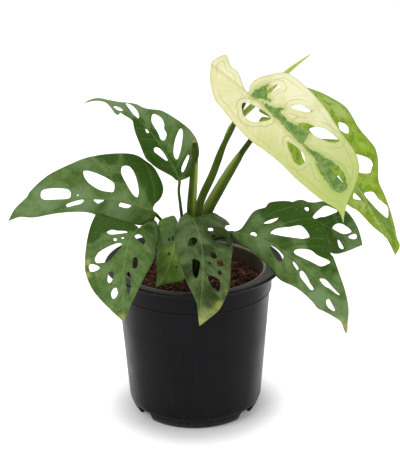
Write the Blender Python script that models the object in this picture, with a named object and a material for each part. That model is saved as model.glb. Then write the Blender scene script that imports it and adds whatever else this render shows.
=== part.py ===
"""Potted Swiss cheese vine (Monstera adansonii) in its black nursery pot, in metres.

The pot's axis is the Z axis and the pot stands on the plane Z = 0. The viewer stands at -Y.
Every leaf is drawn flat first, along its midrib, and is then bent onto a drooping midrib.
"""
import math

import bmesh
import bpy
import numpy as np
from mathutils import Vector
from mathutils.geometry import delaunay_2d_cdt

MM = 0.001

# Pot: a 15 cm round nursery pot.
POT_HEIGHT = 130.6 * MM
LIP_RADIUS = 75.0 * MM
COLLAR_RADIUS = 65.6 * MM
COLLAR_FOOT_Z = 109.0 * MM
BODY_TOP_RADIUS = 64.1 * MM
BODY_FOOT_RADIUS = 57.2 * MM
BODY_FOOT_Z = 9.8 * MM
FOOT_RADIUS = 52.3 * MM
FOOT_WALL = 2.6 * MM
FOOT_HEIGHT = 8.6 * MM
WALL = 1.7 * MM
MOUTH_RADIUS = 58.3 * MM
MOUTH_Z = 125.0 * MM
CENTRE_PAD_RADIUS = 13.0 * MM
POT_SEGMENTS = 48
NOTCH_ANGLES = (37.5, 142.5, 217.5, 322.5)
NOTCH_WIDTH = 18.0 * MM
NOTCH_TOP_SHARE = 0.76
NOTCH_DEPTH = 14.0 * MM
NOTCH_HEIGHT = 8.2 * MM
DRAIN_COUNT = 6
DRAIN_RADIUS = 4.0 * MM
DRAIN_RING_RADIUS = 33.0 * MM
DRAIN_SIDES = 10

# The inner wall steps in under the lip between these heights.
STEP_FOOT_Z = 101.0 * MM
STEP_TOP_Z = 106.0 * MM

# Potting mix, which fills the pot to 13 mm under its mouth.
SOIL_TOP_Z = 112.0 * MM
SOIL_LUMP = 1.1 * MM
SOIL_RINGS = (50, 40, 30, 20, 11)
SOIL_WAVES = (171, 203, 431)
STEM_CLEARING = 15.0 * MM
SEAT_GAP = 0.3 * MM

# Stem that carries the petioles.
STEM_X = -1.0 * MM
STEM_FOOT_RADIUS = 6.4 * MM
STEM_TOP_RADIUS = 5.3 * MM
STEM_TOP_Z = 146.0 * MM

BLADE_THICKNESS = 0.8 * MM
BLADE_GRID = 11.0
BLADE_HALF_WIDTH = 44
CURL_REACH = 30
MIDRIB_STEPS = 80

# Where a petiole ends, measured from the blade's base ahead, aside and up, in millimetres:
# under the blade's base, unless the leaf says that it ends at the edge of the base.
UNDER_SEAT = (0.6, 0, -0.95)
UNDER_NECK = (-0.8, 0, -2.2)

# Leaf blades. Lengths are millimetres and angles are degrees.
# base: where the petiole meets the blade. heading and rise: the midrib's direction there,
# which changes by sweep, droop and hook (droop late near the tip) on the way to the tip.
# roll and twist turn the blade about its midrib. fold and curl: how each half lifts or drops.
# left and right: the margin from tip to base and from base to tip, as (along, across).
# holes: (along, across, length, width, lean), for the holes that are wide enough to matter.
LEAVES = {
    "leaf_upper_left": dict(
        base=(-10.7, 12, 196.6), length=112, heading=138, sweep=55, rise=59, droop=20, hook=61,
        roll=-52, twist=-8, fold=(-15, 4), curl=(30, 22),
        left=[(97, 1), (88, 5), (80, 7), (75, 5), (66, 4), (55, 10), (43, 15), (28, 16), (14, 10)],
        right=[(0, -7), (5, -16), (14, -25), (27, -28), (40, -25), (54, -19), (66, -10), (82, -4)],
        holes=[(69, -2.5, 14, 3.5, -15), (46, -9, 21, 8, -18), (27, -13, 24, 5.5, -44),
               (28, 5, 14, 4, 16)],
        stalk=(1.2, 2.6), attach=(140, 141), seat=(-0.8, 0, 0), neck=(-3, 0, -0.6),
        via=[(-9, 6, 164), (-10.9, 9, 179), (-11.8, 11, 188)]),
    "leaf_mid_left": dict(
        base=(-32.2, -5, 176.3), length=125, heading=198, sweep=-16, rise=31, droop=62, hook=1,
        roll=-58, twist=-4, fold=(-32, 6), curl=(28, 22),
        left=[(108, 5), (97, 9), (84, 10), (62, 13), (45, 17), (26, 19), (8, 17), (-3, 8)],
        right=[(-1, -11), (-4, -20), (1, -30), (9, -40), (24, -45), (38, -41), (57, -34), (75, -27),
               (90, -20), (103, -12), (115, -6)],
        holes=[(82, -6.5, 23, 8.5, -12), (48, -14, 26, 12, -32), (24, -18, 27, 10, -64),
               (68, 4.5, 15, 4, 12), (26, 3.5, 9, 5, 5)],
        stalk=(1.3, 2.4), attach=(170, 134), seat=(-1.4, 0.3, 0), neck=(-3, 0, -0.2),
        via=[(-11, 3, 147), (-18, 3, 155), (-24.5, 1, 163), (-29, -2.5, 170.5)]),
    "leaf_lower_left": dict(
        base=(-43.5, -29, 170), length=89, heading=249, sweep=25, rise=6, droop=118, hook=-37,
        roll=-34, twist=36, fold=(-6, 6), curl=(25, 10),
        left=[(83, 4), (72, 9), (60, 15), (48, 20), (34, 23), (13, 25), (-9, 20), (-23, 12),
              (-27, 4), (-14, 0)],
        right=[(6, -10), (11, -20), (13, -31), (24, -32), (40, -31), (54, -29), (66, -23), (77, -12)],
        holes=[(20, -12, 15, 4, -59), (39, -13.5, 23, 9, -45), (51, -22.5, 8, 5, -86),
               (13, 9, 10, 8, 53), (42, 9.5, 10, 4, 3), (60, 5, 15, 3.5, 2), (68, -6.5, 9, 5, -20)],
        stalk=(1.3, 2.2), attach=(205, 127),
        via=[(-13, -1.5, 137), (-22, -2.5, 146), (-32, -9, 154), (-39.5, -20, 162)]),
    "leaf_small_front": dict(
        base=(-12.6, -6, 166.8), length=59, heading=266, sweep=-51, rise=-39, droop=49, hook=-72,
        roll=-5, twist=0, fold=(5, -4), curl=(20, 20),
        left=[(52, 8), (45, 18), (36, 19), (21, 15), (8, 11), (-3, 6)],
        right=[(-6, -4), (-3, -11), (4, -15), (14, -15), (26, -14.5), (40, -14), (53, -6)],
        holes=[],
        stalk=(1.2, 2.2), attach=(250, 120), via=[(-5.5, -6.5, 138), (-10.5, -3.6, 155)]),
    "leaf_front": dict(
        base=(-0.9, -14, 173.8), length=105, heading=290, sweep=-39, rise=-19, droop=20, hook=54,
        roll=5, twist=-5, fold=(-4, 2), curl=(28, 24),
        left=[(98, 7), (89, 16), (76, 20), (61, 22), (47, 24), (32, 26), (20, 27), (13, 26), (7, 32),
              (-1, 31), (-6, 22), (-3, 11)],
        right=[(-6, -3), (1, -10), (12, -17), (26, -21), (42, -20), (58, -16), (72, -11), (85, -4)],
        holes=[(30, -8, 10, 7, -27), (58, -5.5, 17, 5.5, 3), (26, 15.5, 11, 7.5, 87),
               (46, 9, 6, 4.5, 33), (53, 14.5, 6, 4.5, 47), (70, 10, 14, 7, 34)],
        stalk=(1.3, 2.2), attach=(275, 128), via=[(-0.5, -9, 148), (-1, -11, 164)]),
    "leaf_right_front": dict(
        base=(31.7, -14, 160.4), length=136, heading=-36, sweep=27, rise=6, droop=86, hook=-5,
        roll=58, twist=4, fold=(4, -24), curl=(24, 26),
        left=[(125, 5), (111, 11), (94, 16), (77, 22), (68, 30), (59, 37), (49, 38), (39, 40),
              (29, 37), (20, 31), (15, 21), (8, 5)],
        right=[(4, -7), (19, -12), (41, -19), (60, -24), (79, -19), (97, -15), (109, -12), (121, -2)],
        holes=[(20.5, 1.5, 5, 4.5, 33), (29, 17, 12, 3, 49), (44, 16, 28, 10, 31), (69, 10, 27, 9, 22),
               (44, -6, 16, 6.5, -26), (79, -7.5, 18, 5, -10), (95, 5, 18, 4, 15),
               (108, -4, 10, 4, 2)],
        stalk=(1.4, 2.4), attach=(300, 120), seat=(-0.4, 0, 0), neck=(-3, 0, 0.4),
        via=[(7, -10, 140), (13, -11, 153), (21, -12, 158.5)]),
    "leaf_right_back": dict(
        base=(88, 22, 163.9), length=70, heading=18, sweep=-10, rise=-24, droop=20, hook=-21,
        roll=45, twist=0, fold=(5, 5), curl=(20, 20),
        left=[(65, 11), (57, 21), (47, 27), (36, 27), (24, 23), (13, 16), (3, 14), (-5, 7)],
        right=[(-5, -4), (4, -8), (13, -11), (22, -20), (32, -24), (43, -22), (56, -13)],
        holes=[(27, 12.5, 27, 8.5, 44), (47, 5.5, 20, 9, 23), (48, -10, 8, 5, -37)],
        stalk=(1.4, 2.4), attach=(72, 122),
        via=[(7, 12, 137), (19, 11, 146), (32, 11, 148), (43.5, 14, 151.5), (53, 17, 159), (63, 20, 164),
             (78, 22, 164)]),
    "leaf_variegated": dict(
        base=(44.3, -14, 276.1), length=130, heading=-24, sweep=-11, rise=-33, droop=20, hook=30,
        roll=48, twist=0, fold=(6, -6), curl=(15, 20),
        left=[(120, 3), (110, 10), (102, 21), (92, 28), (80, 29), (61, 31), (45, 34), (29, 35),
              (15, 34), (6, 27), (0, 17), (-2, 7)],
        right=[(-9, 2), (-17, 8), (-26, 10), (-33, 14), (-38, 4), (-32, -8), (-21, -18), (-6, -23),
               (12, -26), (32, -27), (54, -23), (80, -21), (96, -15), (109, -10)],
        holes=[(15, -10.5, 25, 11, 15), (12, 15.5, 12, 4, 72), (39, 19, 15, 5, 36),
               (60, 16, 30, 8, 29), (61, -9, 22, 8, -7), (93, 9, 16, 4.5, 12)],
        stalk=(1.6, 2.9), attach=(326, 141), neck=(0.5, 0, -4),
        via=[(6.6, -3.8, 156), (5.6, -2.6, 177), (14.6, -1.5, 207), (24.8, -2, 235), (33, -3, 248),
             (39.5, -4, 261)]),
    "leaf_lime": dict(
        base=(65.3, 14, 248.9), length=167, heading=20, sweep=-49, rise=-20, droop=70, hook=-37,
        roll=52, twist=0, fold=(6, 5), curl=(15, 15),
        left=[(154, 8), (136, 12), (117, 16), (104, 21), (90, 33), (80, 38), (69, 39), (57, 47),
              (43, 48), (29, 45), (18, 36), (5, 23), (-9, 10)],
        right=[(-12, -7), (-7, -18), (4, -27), (24, -33), (49, -35), (74, -31), (94, -23), (112, -15),
               (128, -9), (145, -3)],
        holes=[(59, 26, 11, 8, 9), (87, 14, 20, 13, 26), (106, -8.5, 9, 3.5, 22), (121, 7, 27, 7, 15),
               (22, 18, 19, 10, 27), (48, 11, 29, 11, 31), (40, -20, 15, 6, -30)],
        stalk=(1.6, 4.2), attach=(32, 131),
        via=[(10.2, 5.5, 152), (13.2, 4.8, 174), (22, 5.5, 194.9), (34, 7, 215.6), (45.5, 9, 231),
             (56, 12, 242)]),
}

# Petiole radius at the sheath's end, as a share of the way up, where it has a sheath.
SHEATH_END = {"leaf_variegated": (0.58, 2.5), "leaf_lime": (0.55, 2.7)}

COLOURS = {
    "pot": (0.012, 0.012, 0.014),
    "soil": (0.09, 0.035, 0.022),
    "dark_leaf": (0.045, 0.13, 0.03),
    "small_leaf": (0.09, 0.2, 0.03),
    "lime_leaf": (0.33, 0.5, 0.06),
    "cream_leaf": (0.72, 0.72, 0.36),
    "stalk": (0.09, 0.17, 0.02),
    "rolled_leaf": (0.3, 0.4, 0.08),
}


def clear_scene():
    for thing in list(bpy.data.objects):
        bpy.data.objects.remove(thing, do_unlink=True)


def make_material(name, roughness):
    material = bpy.data.materials.new(name)
    material.use_nodes = True
    shader = material.node_tree.nodes["Principled BSDF"]
    shader.inputs["Base Color"].default_value = (*COLOURS[name], 1.0)
    shader.inputs["Roughness"].default_value = roughness
    return material


def add_object(name, bm, material):
    """Puts a finished mesh in the scene, smooth except across sharp edges."""
    mesh = bpy.data.meshes.new(name)
    bm.to_mesh(mesh)
    bm.free()
    mesh.shade_smooth()
    mesh.set_sharp_from_angle(angle=math.radians(40))
    mesh.materials.append(material)
    thing = bpy.data.objects.new(name, mesh)
    bpy.context.scene.collection.objects.link(thing)
    return thing


def turned(profile, segments):
    """Turns a closed (radius, height) profile about the Z axis, both ends on the axis."""
    bm = bmesh.new()
    points = [bm.verts.new((radius, 0, z)) for radius, z in profile]
    edges = [bm.edges.new(pair) for pair in zip(points, points[1:])]
    bmesh.ops.spin(bm, geom=points + edges, cent=(0, 0, 0), axis=(0, 0, 1),
                   angle=math.tau, steps=segments, use_merge=True)
    bmesh.ops.remove_doubles(bm, verts=bm.verts[:], dist=1e-6)
    bmesh.ops.recalc_face_normals(bm, faces=bm.faces[:])
    return bm


def pot_profile():
    outside = [
        (0, 0), (CENTRE_PAD_RADIUS, 0), (CENTRE_PAD_RADIUS + 1 * MM, FOOT_HEIGHT),
        (FOOT_RADIUS - FOOT_WALL, FOOT_HEIGHT), (FOOT_RADIUS - FOOT_WALL, 0),
        (FOOT_RADIUS - 0.5 * MM, 0), (FOOT_RADIUS + 0.3 * MM, 0.8 * MM),
        (FOOT_RADIUS + 2.4 * MM, 3.8 * MM), (BODY_FOOT_RADIUS - 0.9 * MM, BODY_FOOT_Z - 0.8 * MM),
        (BODY_FOOT_RADIUS, BODY_FOOT_Z + 1 * MM),
        (BODY_TOP_RADIUS, COLLAR_FOOT_Z - 1 * MM), (COLLAR_RADIUS - 0.5 * MM, COLLAR_FOOT_Z),
        (COLLAR_RADIUS, COLLAR_FOOT_Z + 3 * MM), (COLLAR_RADIUS + 0.8 * MM, POT_HEIGHT - 4.6 * MM),
        (LIP_RADIUS - 1.2 * MM, POT_HEIGHT - 2.6 * MM), (LIP_RADIUS, POT_HEIGHT - 1.4 * MM),
        (LIP_RADIUS - 0.2 * MM, POT_HEIGHT - 0.3 * MM), (LIP_RADIUS - 1.2 * MM, POT_HEIGHT)]
    inside = [
        (MOUTH_RADIUS + 0.9 * MM, MOUTH_Z + 0.5 * MM), (MOUTH_RADIUS, MOUTH_Z - 0.5 * MM),
        (MOUTH_RADIUS - 0.5 * MM, STEP_TOP_Z), (BODY_TOP_RADIUS - WALL - 0.5 * MM, STEP_FOOT_Z),
        (BODY_FOOT_RADIUS - WALL, FOOT_HEIGHT + WALL + 2.2 * MM),
        (BODY_FOOT_RADIUS - WALL - 1.2 * MM, FOOT_HEIGHT + WALL), (0, FOOT_HEIGHT + WALL)]
    return outside, inside


def add_cutter(name, bm, target):
    mesh = bpy.data.meshes.new(name)
    bm.to_mesh(mesh)
    bm.free()
    cutter = bpy.data.objects.new(name, mesh)
    bpy.context.scene.collection.objects.link(cutter)
    cutter.hide_render = True
    cutter.display_type = "WIRE"
    cut = target.modifiers.new(name, "BOOLEAN")
    cut.operation = "DIFFERENCE"
    cut.solver = "EXACT"
    cut.object = cutter


def make_pot():
    """Round pot with a flared lip, a collar, four feet and drain holes."""
    outside, inside = pot_profile()
    pot = add_object("nursery_pot", turned(outside + inside, POT_SEGMENTS),
                     make_material("pot", 0.45))
    notches = bmesh.new()
    for angle in NOTCH_ANGLES:
        box = bmesh.ops.create_cube(notches, size=1.0)["verts"]
        for vertex in box:
            narrowing = NOTCH_TOP_SHARE if vertex.co.z > 0 else 1.0
            x = FOOT_RADIUS + vertex.co.x * NOTCH_DEPTH
            y = vertex.co.y * NOTCH_WIDTH * narrowing
            z = NOTCH_HEIGHT if vertex.co.z > 0 else -2 * MM
            turn = math.radians(angle)
            vertex.co = (x * math.cos(turn) - y * math.sin(turn),
                         x * math.sin(turn) + y * math.cos(turn), z)
    add_cutter("notch_cutter", notches, pot)
    drains = bmesh.new()
    for index in range(DRAIN_COUNT):
        turn = math.tau * (index + 0.5) / DRAIN_COUNT
        ring = bmesh.ops.create_cone(drains, cap_ends=True, segments=DRAIN_SIDES, radius1=DRAIN_RADIUS,
                                     radius2=DRAIN_RADIUS, depth=3 * FOOT_HEIGHT)["verts"]
        centre = Vector((math.cos(turn), math.sin(turn), 0)) * DRAIN_RING_RADIUS
        bmesh.ops.translate(drains, verts=ring, vec=centre)
    add_cutter("drain_cutter", drains, pot)


def make_soil():
    """Potting mix as one solid, lumpy on top and flat where the stem stands."""
    _, inside = pot_profile()
    wall = [(radius - SEAT_GAP, z) for radius, z in reversed(inside[3:-1])]
    wall[0] = (wall[0][0], wall[0][1] + SEAT_GAP)
    shoulder = inside[2][0] - SEAT_GAP
    floor_z = FOOT_HEIGHT + WALL + SEAT_GAP
    top = [(shoulder, STEP_TOP_Z - 0.2 * MM), (shoulder + 0.2 * MM, SOIL_TOP_Z)]
    rings = [(radius * MM, SOIL_TOP_Z) for radius in SOIL_RINGS]
    bm = turned([(0, floor_z)] + wall + top + rings + [(0, SOIL_TOP_Z)], POT_SEGMENTS)
    for vertex in bm.verts:
        reach = math.hypot(vertex.co.x, vertex.co.y)
        if vertex.co.z > SOIL_TOP_Z - 0.5 * MM and reach > STEM_CLEARING:
            along_x, along_y, fine = SOIL_WAVES
            wave = math.sin(vertex.co.x * along_x) * math.cos(vertex.co.y * along_y)
            vertex.co.z += SOIL_LUMP * (wave + 0.4 * math.sin(vertex.co.x * fine + 2))
    add_object("potting_mix", bm, make_material("soil", 0.95))


def smooth_path(points, per_span):
    """Points on a Catmull-Rom curve through the given points."""
    points = [np.array(point, float) for point in points]
    ends = [2 * points[0] - points[1]] + points + [2 * points[-1] - points[-2]]
    path = []
    for a, b, c, d in zip(ends, ends[1:], ends[2:], ends[3:]):
        for step in range(per_span):
            t = step / per_span
            path.append(0.5 * (2 * b + (c - a) * t + (2 * a - 5 * b + 4 * c - d) * t ** 2
                               + (3 * b - a - 3 * c + d) * t ** 3))
    path.append(points[-1])
    return path


def tube(path, radii, sides, start_face=None, end_face=None):
    """Closed tube along a path. A given end face sets the plane that the end is cut to."""
    path = [Vector(point) for point in path]
    count = len(path)
    bm = bmesh.new()
    rings = []
    across = None
    for index, centre in enumerate(path):
        ahead = path[min(index + 1, count - 1)] - path[max(index - 1, 0)]
        if index == 0 and start_face is not None:
            ahead = Vector(start_face)
        if index == count - 1 and end_face is not None:
            ahead = Vector(end_face)
        ahead.normalize()
        if across is None:
            across = ahead.orthogonal()
        across = (across - ahead * across.dot(ahead)).normalized()
        upward = ahead.cross(across)
        radius = float(np.interp(index / (count - 1), *radii))
        turns = [math.tau * side / sides for side in range(sides)]
        rings.append([bm.verts.new(centre + radius * (math.cos(t) * across + math.sin(t) * upward))
                      for t in turns])
    for low, high in zip(rings, rings[1:]):
        for side in range(sides):
            follow = (side + 1) % sides
            bm.faces.new((low[side], low[follow], high[follow], high[side]))
    bm.faces.new(reversed(rings[0]))
    bm.faces.new(rings[-1])
    bmesh.ops.recalc_face_normals(bm, faces=bm.faces[:])
    return bm


def stem_radius(z):
    share = (z - SOIL_TOP_Z) / (STEM_TOP_Z - SOIL_TOP_Z)
    return STEM_FOOT_RADIUS + (STEM_TOP_RADIUS - STEM_FOOT_RADIUS) * share


def make_stem(material):
    """Short upright stem between the potting mix and the highest petiole."""
    heights = np.linspace(SOIL_TOP_Z + SEAT_GAP, STEM_TOP_Z, 5)
    path = [(STEM_X, 0, z) for z in heights]
    radii = ([0, 1], [STEM_FOOT_RADIUS, STEM_TOP_RADIUS])
    add_object("main_stem", tube(path, radii, 16), material)


def make_cut_stalk(material):
    """Old petiole that stands upright on the stem, cut off short."""
    points = [(-1.6, 0, 146.3), (-1.4, 0, 175), (0.6, 0, 201), (1.6, 0, 214), (2, 0, 234.8)]
    path = [point * MM for point in smooth_path(points, 3)]
    radii = ([0, 0.4, 0.75, 1], [4.0 * MM, 3.9 * MM, 2.6 * MM, 1.9 * MM])
    add_object("cut_stalk", tube(path, radii, 10, start_face=(0, 0, 1)), material)


def make_rolled_leaf(material):
    """Newest leaf, still rolled up, beside the sheath of the tallest petiole."""
    points = [(25.0, 2.2, 235.0), (33, 4.5, 245), (42, 6, 254.4), (49.4, 8, 261.3), (63, 10, 273.8),
              (76, 11, 286.5), (86, 12, 294.3), (95.7, 12, 301.4)]
    path = [point * MM for point in smooth_path(points, 2)]
    radii = ([0, 0.15, 0.5, 0.8, 1], [1.3 * MM, 1.8 * MM, 2.6 * MM, 1.8 * MM, 0.35 * MM])
    add_object("rolled_leaf", tube(path, radii, 8), material)


class Blade:
    """Bent surface of one leaf: maps (along, across) in millimetres to a point in space."""

    def __init__(self, leaf):
        self.leaf = leaf
        self.along = np.linspace(0, leaf["length"], MIDRIB_STEPS)
        share = self.along / leaf["length"]
        heading = np.radians(leaf["heading"] + leaf["sweep"] * share)
        rise = np.radians(leaf["rise"] - leaf["droop"] * share - leaf["hook"] * share ** 4)
        turn = np.radians(leaf["roll"] + leaf["twist"] * share)[:, None]
        flat = np.zeros_like(share)
        self.ahead = np.stack([np.cos(rise) * np.cos(heading), np.cos(rise) * np.sin(heading),
                               np.sin(rise)], 1)
        level = np.stack([-np.sin(heading), np.cos(heading), flat], 1)
        above = np.cross(self.ahead, level)
        self.side = np.cos(turn) * level + np.sin(turn) * above
        self.up = np.cos(turn) * above - np.sin(turn) * level
        steps = (self.ahead[1:] + self.ahead[:-1]) / 2 * (self.along[1] - self.along[0])
        self.midrib = np.array(leaf["base"], float) + np.vstack([np.zeros(3), np.cumsum(steps, 0)])

    def at(self, values, u):
        held = min(max(u, 0), self.leaf["length"])
        return np.array([np.interp(held, self.along, values[:, axis]) for axis in range(3)])

    def point(self, u, v):
        half = 0 if v >= 0 else 1
        fold = math.radians(self.leaf["fold"][half])
        bend = math.radians(self.leaf["curl"][half]) / CURL_REACH
        reach = abs(v)
        aside = (math.sin(fold) - math.sin(fold - bend * reach)) / bend
        lift = (math.cos(fold - bend * reach) - math.cos(fold)) / bend
        beyond = u - min(max(u, 0), self.leaf["length"])
        place = self.at(self.midrib, u) + self.at(self.ahead, u) * beyond
        place = place + self.at(self.side, u) * math.copysign(aside, v) + self.at(self.up, u) * lift
        return Vector(place * MM)


def hole_ring(hole, count):
    """Egg-shaped hole: its middle, length, width and lean towards the tip."""
    along, across, length, width, lean = hole
    turn = math.radians(lean)
    ring = []
    for step in range(count):
        angle = math.tau * step / count
        x = length / 2 * math.cos(angle)
        y = width / 2 * math.sin(angle)
        ring.append((along + x * math.cos(turn) - y * math.sin(turn),
                     across + x * math.sin(turn) + y * math.cos(turn)))
    return ring


def is_inside(point, ring):
    x, y = point
    inside = False
    for (x1, y1), (x2, y2) in zip(ring, ring[1:] + ring[:1]):
        if (y1 > y) != (y2 > y) and x < x1 + (y - y1) * (x2 - x1) / (y2 - y1):
            inside = not inside
    return inside


def nearest(point, rings):
    return min(math.dist(point, corner) for ring in rings for corner in ring)


def flat_blade(leaf):
    """Triangles of the flat leaf, with its holes left out."""
    tip = (leaf["length"], 0)
    left = smooth_path([tip] + leaf["left"] + [(0, 0)], 2)
    right = smooth_path([(0, 0)] + leaf["right"] + [tip], 2)
    margin = [tuple(point) for point in left[:-1] + right[:-1]]
    holes = [hole_ring(hole, 10 if hole[2] > 12 else 7) for hole in leaf["holes"]]
    corners = [Vector(point) for ring in [margin] + holes for point in ring]
    edges = []
    start = 0
    for ring in [margin] + holes:
        edges += [(start + k, start + (k + 1) % len(ring)) for k in range(len(ring))]
        start += len(ring)
    for column in np.arange(4, leaf["length"] - 3, BLADE_GRID):
        for row in np.arange(-BLADE_HALF_WIDTH, BLADE_HALF_WIDTH + 1, BLADE_GRID):
            spot = (column, row)
            clear = nearest(spot, [margin] + holes) > 0.45 * BLADE_GRID
            if clear and is_inside(spot, margin) and not any(is_inside(spot, ring) for ring in holes):
                corners.append(Vector(spot))
    points, _, faces, *_ = delaunay_2d_cdt(corners, edges, [], 0, 1e-6)
    kept = []
    for face in faces:
        middle = sum((points[k] for k in face), Vector((0, 0))) / 3
        if is_inside(middle, margin) and not any(is_inside(middle, ring) for ring in holes):
            kept.append(face)
    return points, kept


def make_blade(name, leaf, material):
    """Thin closed plate, bent like the leaf and pierced by its holes."""
    blade = Blade(leaf)
    points, faces = flat_blade(leaf)
    bm = bmesh.new()
    corners = [bm.verts.new(blade.point(point.x, point.y)) for point in points]
    for face in faces:
        bm.faces.new([corners[k] for k in face])
    loose = [vertex for vertex in bm.verts if not vertex.link_faces]
    bmesh.ops.delete(bm, geom=loose, context="VERTS")
    thing = add_object(name, bm, material)
    plate = thing.modifiers.new("thickness", "SOLIDIFY")
    plate.thickness = BLADE_THICKNESS
    plate.offset = 0
    return blade


def make_petiole(name, leaf, blade, material):
    """Leaf stalk from the side of the stem to the underside of the blade's base."""
    tip_radius, foot_radius = leaf["stalk"]
    angle = math.radians(leaf["attach"][0])
    height = leaf["attach"][1]
    outward = np.array([math.cos(angle), math.sin(angle), 0.0])
    reach = (stem_radius(height * MM) + SEAT_GAP) / MM
    foot = np.array([STEM_X / MM, 0, height]) + outward * reach
    under = blade.at(blade.up, 0)
    ahead = blade.at(blade.ahead, 0)
    axes = np.array([ahead, blade.at(blade.side, 0), under])
    top = np.array(leaf["base"], float) + leaf.get("seat", UNDER_SEAT) @ axes
    neck = top + leaf.get("neck", UNDER_NECK) @ axes
    end_face = under if "seat" not in leaf else None
    rising = foot + outward * 3 + np.array([0, 0, 2.5])
    points = [foot, rising] + leaf["via"] + [neck, top]
    path = [point * MM for point in smooth_path(points, 3)]
    sheath = SHEATH_END.get(name)
    if sheath:
        end, radius = sheath
        radii = ([0, 0.08, 0.2, end, end + 0.05, 1],
                 [value * MM for value in (2.6, 2.9, foot_radius, radius, tip_radius + 0.2, tip_radius)])
    else:
        radii = ([0, 0.3, 1], [value * MM for value in (foot_radius, tip_radius + 0.3, tip_radius)])
    petiole = name.replace("leaf_", "petiole_")
    add_object(petiole, tube(path, radii, 8, start_face=outward, end_face=end_face), material)


def leaf_material(name, shared):
    kinds = {"leaf_variegated": "cream_leaf", "leaf_lime": "lime_leaf",
             "leaf_small_front": "small_leaf"}
    kind = kinds.get(name, "dark_leaf")
    if kind not in shared:
        shared[kind] = make_material(kind, 0.42)
    return shared[kind]


def main():
    clear_scene()
    make_pot()
    make_soil()
    stalk = make_material("stalk", 0.5)
    make_stem(stalk)
    make_cut_stalk(stalk)
    shared = {}
    for name, leaf in LEAVES.items():
        blade = make_blade(name, leaf, leaf_material(name, shared))
        make_petiole(name, leaf, blade, stalk)
    make_rolled_leaf(make_material("rolled_leaf", 0.45))


main()
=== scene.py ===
import math
import random

import bmesh
import bpy
import numpy as np
from mathutils import Matrix, Vector, noise


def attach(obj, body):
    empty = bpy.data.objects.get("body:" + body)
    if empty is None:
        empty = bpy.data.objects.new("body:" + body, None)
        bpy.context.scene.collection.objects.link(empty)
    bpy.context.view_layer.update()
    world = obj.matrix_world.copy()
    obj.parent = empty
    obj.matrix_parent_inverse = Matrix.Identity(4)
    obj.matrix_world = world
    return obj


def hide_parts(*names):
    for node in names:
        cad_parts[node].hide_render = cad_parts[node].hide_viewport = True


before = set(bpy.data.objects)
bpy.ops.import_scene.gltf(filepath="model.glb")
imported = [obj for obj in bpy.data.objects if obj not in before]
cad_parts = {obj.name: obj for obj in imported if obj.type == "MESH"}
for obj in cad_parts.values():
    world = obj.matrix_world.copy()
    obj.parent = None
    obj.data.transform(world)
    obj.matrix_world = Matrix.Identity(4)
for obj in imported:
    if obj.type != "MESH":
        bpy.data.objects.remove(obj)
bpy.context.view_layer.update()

mm = 0.001
print("frame loaded,", len(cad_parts), "nodes")


# camera, softboxes and floor

view = dict(place=(0.0055, -0.860, 0.465), tilt=70.4, roll=-0.63, lens=86.4)
studio = dict(
    sky=0.46,
    softboxes=[  # name, place, aimed at, width, height, watts
        ("keyLight", (-0.80, -0.75, 1.30), (0.0, 0.0, 0.18), 0.9, 0.9, 7.5),
        ("topLight", (0.25, 0.25, 1.60), (0.0, 0.0, 0.15), 1.1, 1.1, 5.5),
        ("sideLight", (1.30, -0.40, 0.60), (0.0, 0.0, 0.12), 0.5, 1.1, 3.0),
        ("backLight", (-0.70, 1.30, 0.80), (0.0, 0.0, 0.12), 0.9, 0.9, 3.0),
    ],
    floorWidth=16.0, floorColour=(0.86, 0.86, 0.86),
    floorGlowWithPaintedShadow=((0.050, 0.13), (0.088, 0.62)),  # distance in metres, and the white paper's emission there; less emission near the pot paints a soft contact shadow
    shadowMiddle=(0.0, -0.006, 0.0))

scene = bpy.context.scene
cameraData = bpy.data.cameras.new("camera")
cameraData.lens = view["lens"]
cameraData.sensor_width = 36
cameraData.clip_start = 0.05
camera = bpy.data.objects.new("camera", cameraData)
camera.matrix_world = (Matrix.Translation(view["place"])
                       @ Matrix.Rotation(math.radians(view["tilt"]), 4, "X")
                       @ Matrix.Rotation(math.radians(view["roll"]), 4, "Z"))
scene.collection.objects.link(camera)
scene.camera = camera
scene.view_settings.view_transform = "Standard"
scene.view_settings.look = "None"

world = bpy.data.worlds.new("studio")
scene.world = world
world.use_nodes = True
sky = world.node_tree.nodes["Background"].inputs
sky["Color"].default_value = (1, 1, 1, 1)
# the camera sees a white backdrop, the plant gets a softer sky
seen = world.node_tree.nodes.new("ShaderNodeLightPath")
strength = world.node_tree.nodes.new("ShaderNodeMapRange")
strength.inputs["To Min"].default_value = studio["sky"]
world.node_tree.links.new(seen.outputs["Is Camera Ray"], strength.inputs["Value"])
world.node_tree.links.new(strength.outputs["Result"], sky["Strength"])
for name, place, aim, width, height, watts in studio["softboxes"]:
    lamp = bpy.data.lights.new(name, "AREA")
    lamp.shape = "RECTANGLE"
    lamp.size, lamp.size_y, lamp.energy = width, height, watts
    holder = bpy.data.objects.new(name, lamp)
    holder.location = place
    holder.rotation_euler = (Vector(aim) - Vector(place)).to_track_quat("-Z", "Y").to_euler()
    scene.collection.objects.link(holder)


# small helpers for node materials

def screen(red, green, blue):  # 0-255 screen colour as linear light
    def linear(c):
        c /= 255
        return c / 12.92 if c <= 0.04045 else ((c + 0.055) / 1.055) ** 2.4
    return (linear(red), linear(green), linear(blue), 1.0)


def addNode(tree, kind, sockets=None, **settings):
    made = tree.nodes.new("ShaderNode" + kind)
    for name, value in settings.items():
        setattr(made, name, value)
    for name, value in (sockets or {}).items():
        if isinstance(value, bpy.types.NodeSocket):
            tree.links.new(value, made.inputs[name])
        else:
            made.inputs[name].default_value = value
    return made


def calc(tree, operation, first, second=0.0):
    return addNode(tree, "Math", {0: first, 1: second}, operation=operation).outputs[0]


def times(tree, first, second):
    return calc(tree, "MULTIPLY", first, second)


def plus(tree, first, second):
    return calc(tree, "ADD", first, second)


def minus(tree, first, second):
    return calc(tree, "SUBTRACT", first, second)


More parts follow.
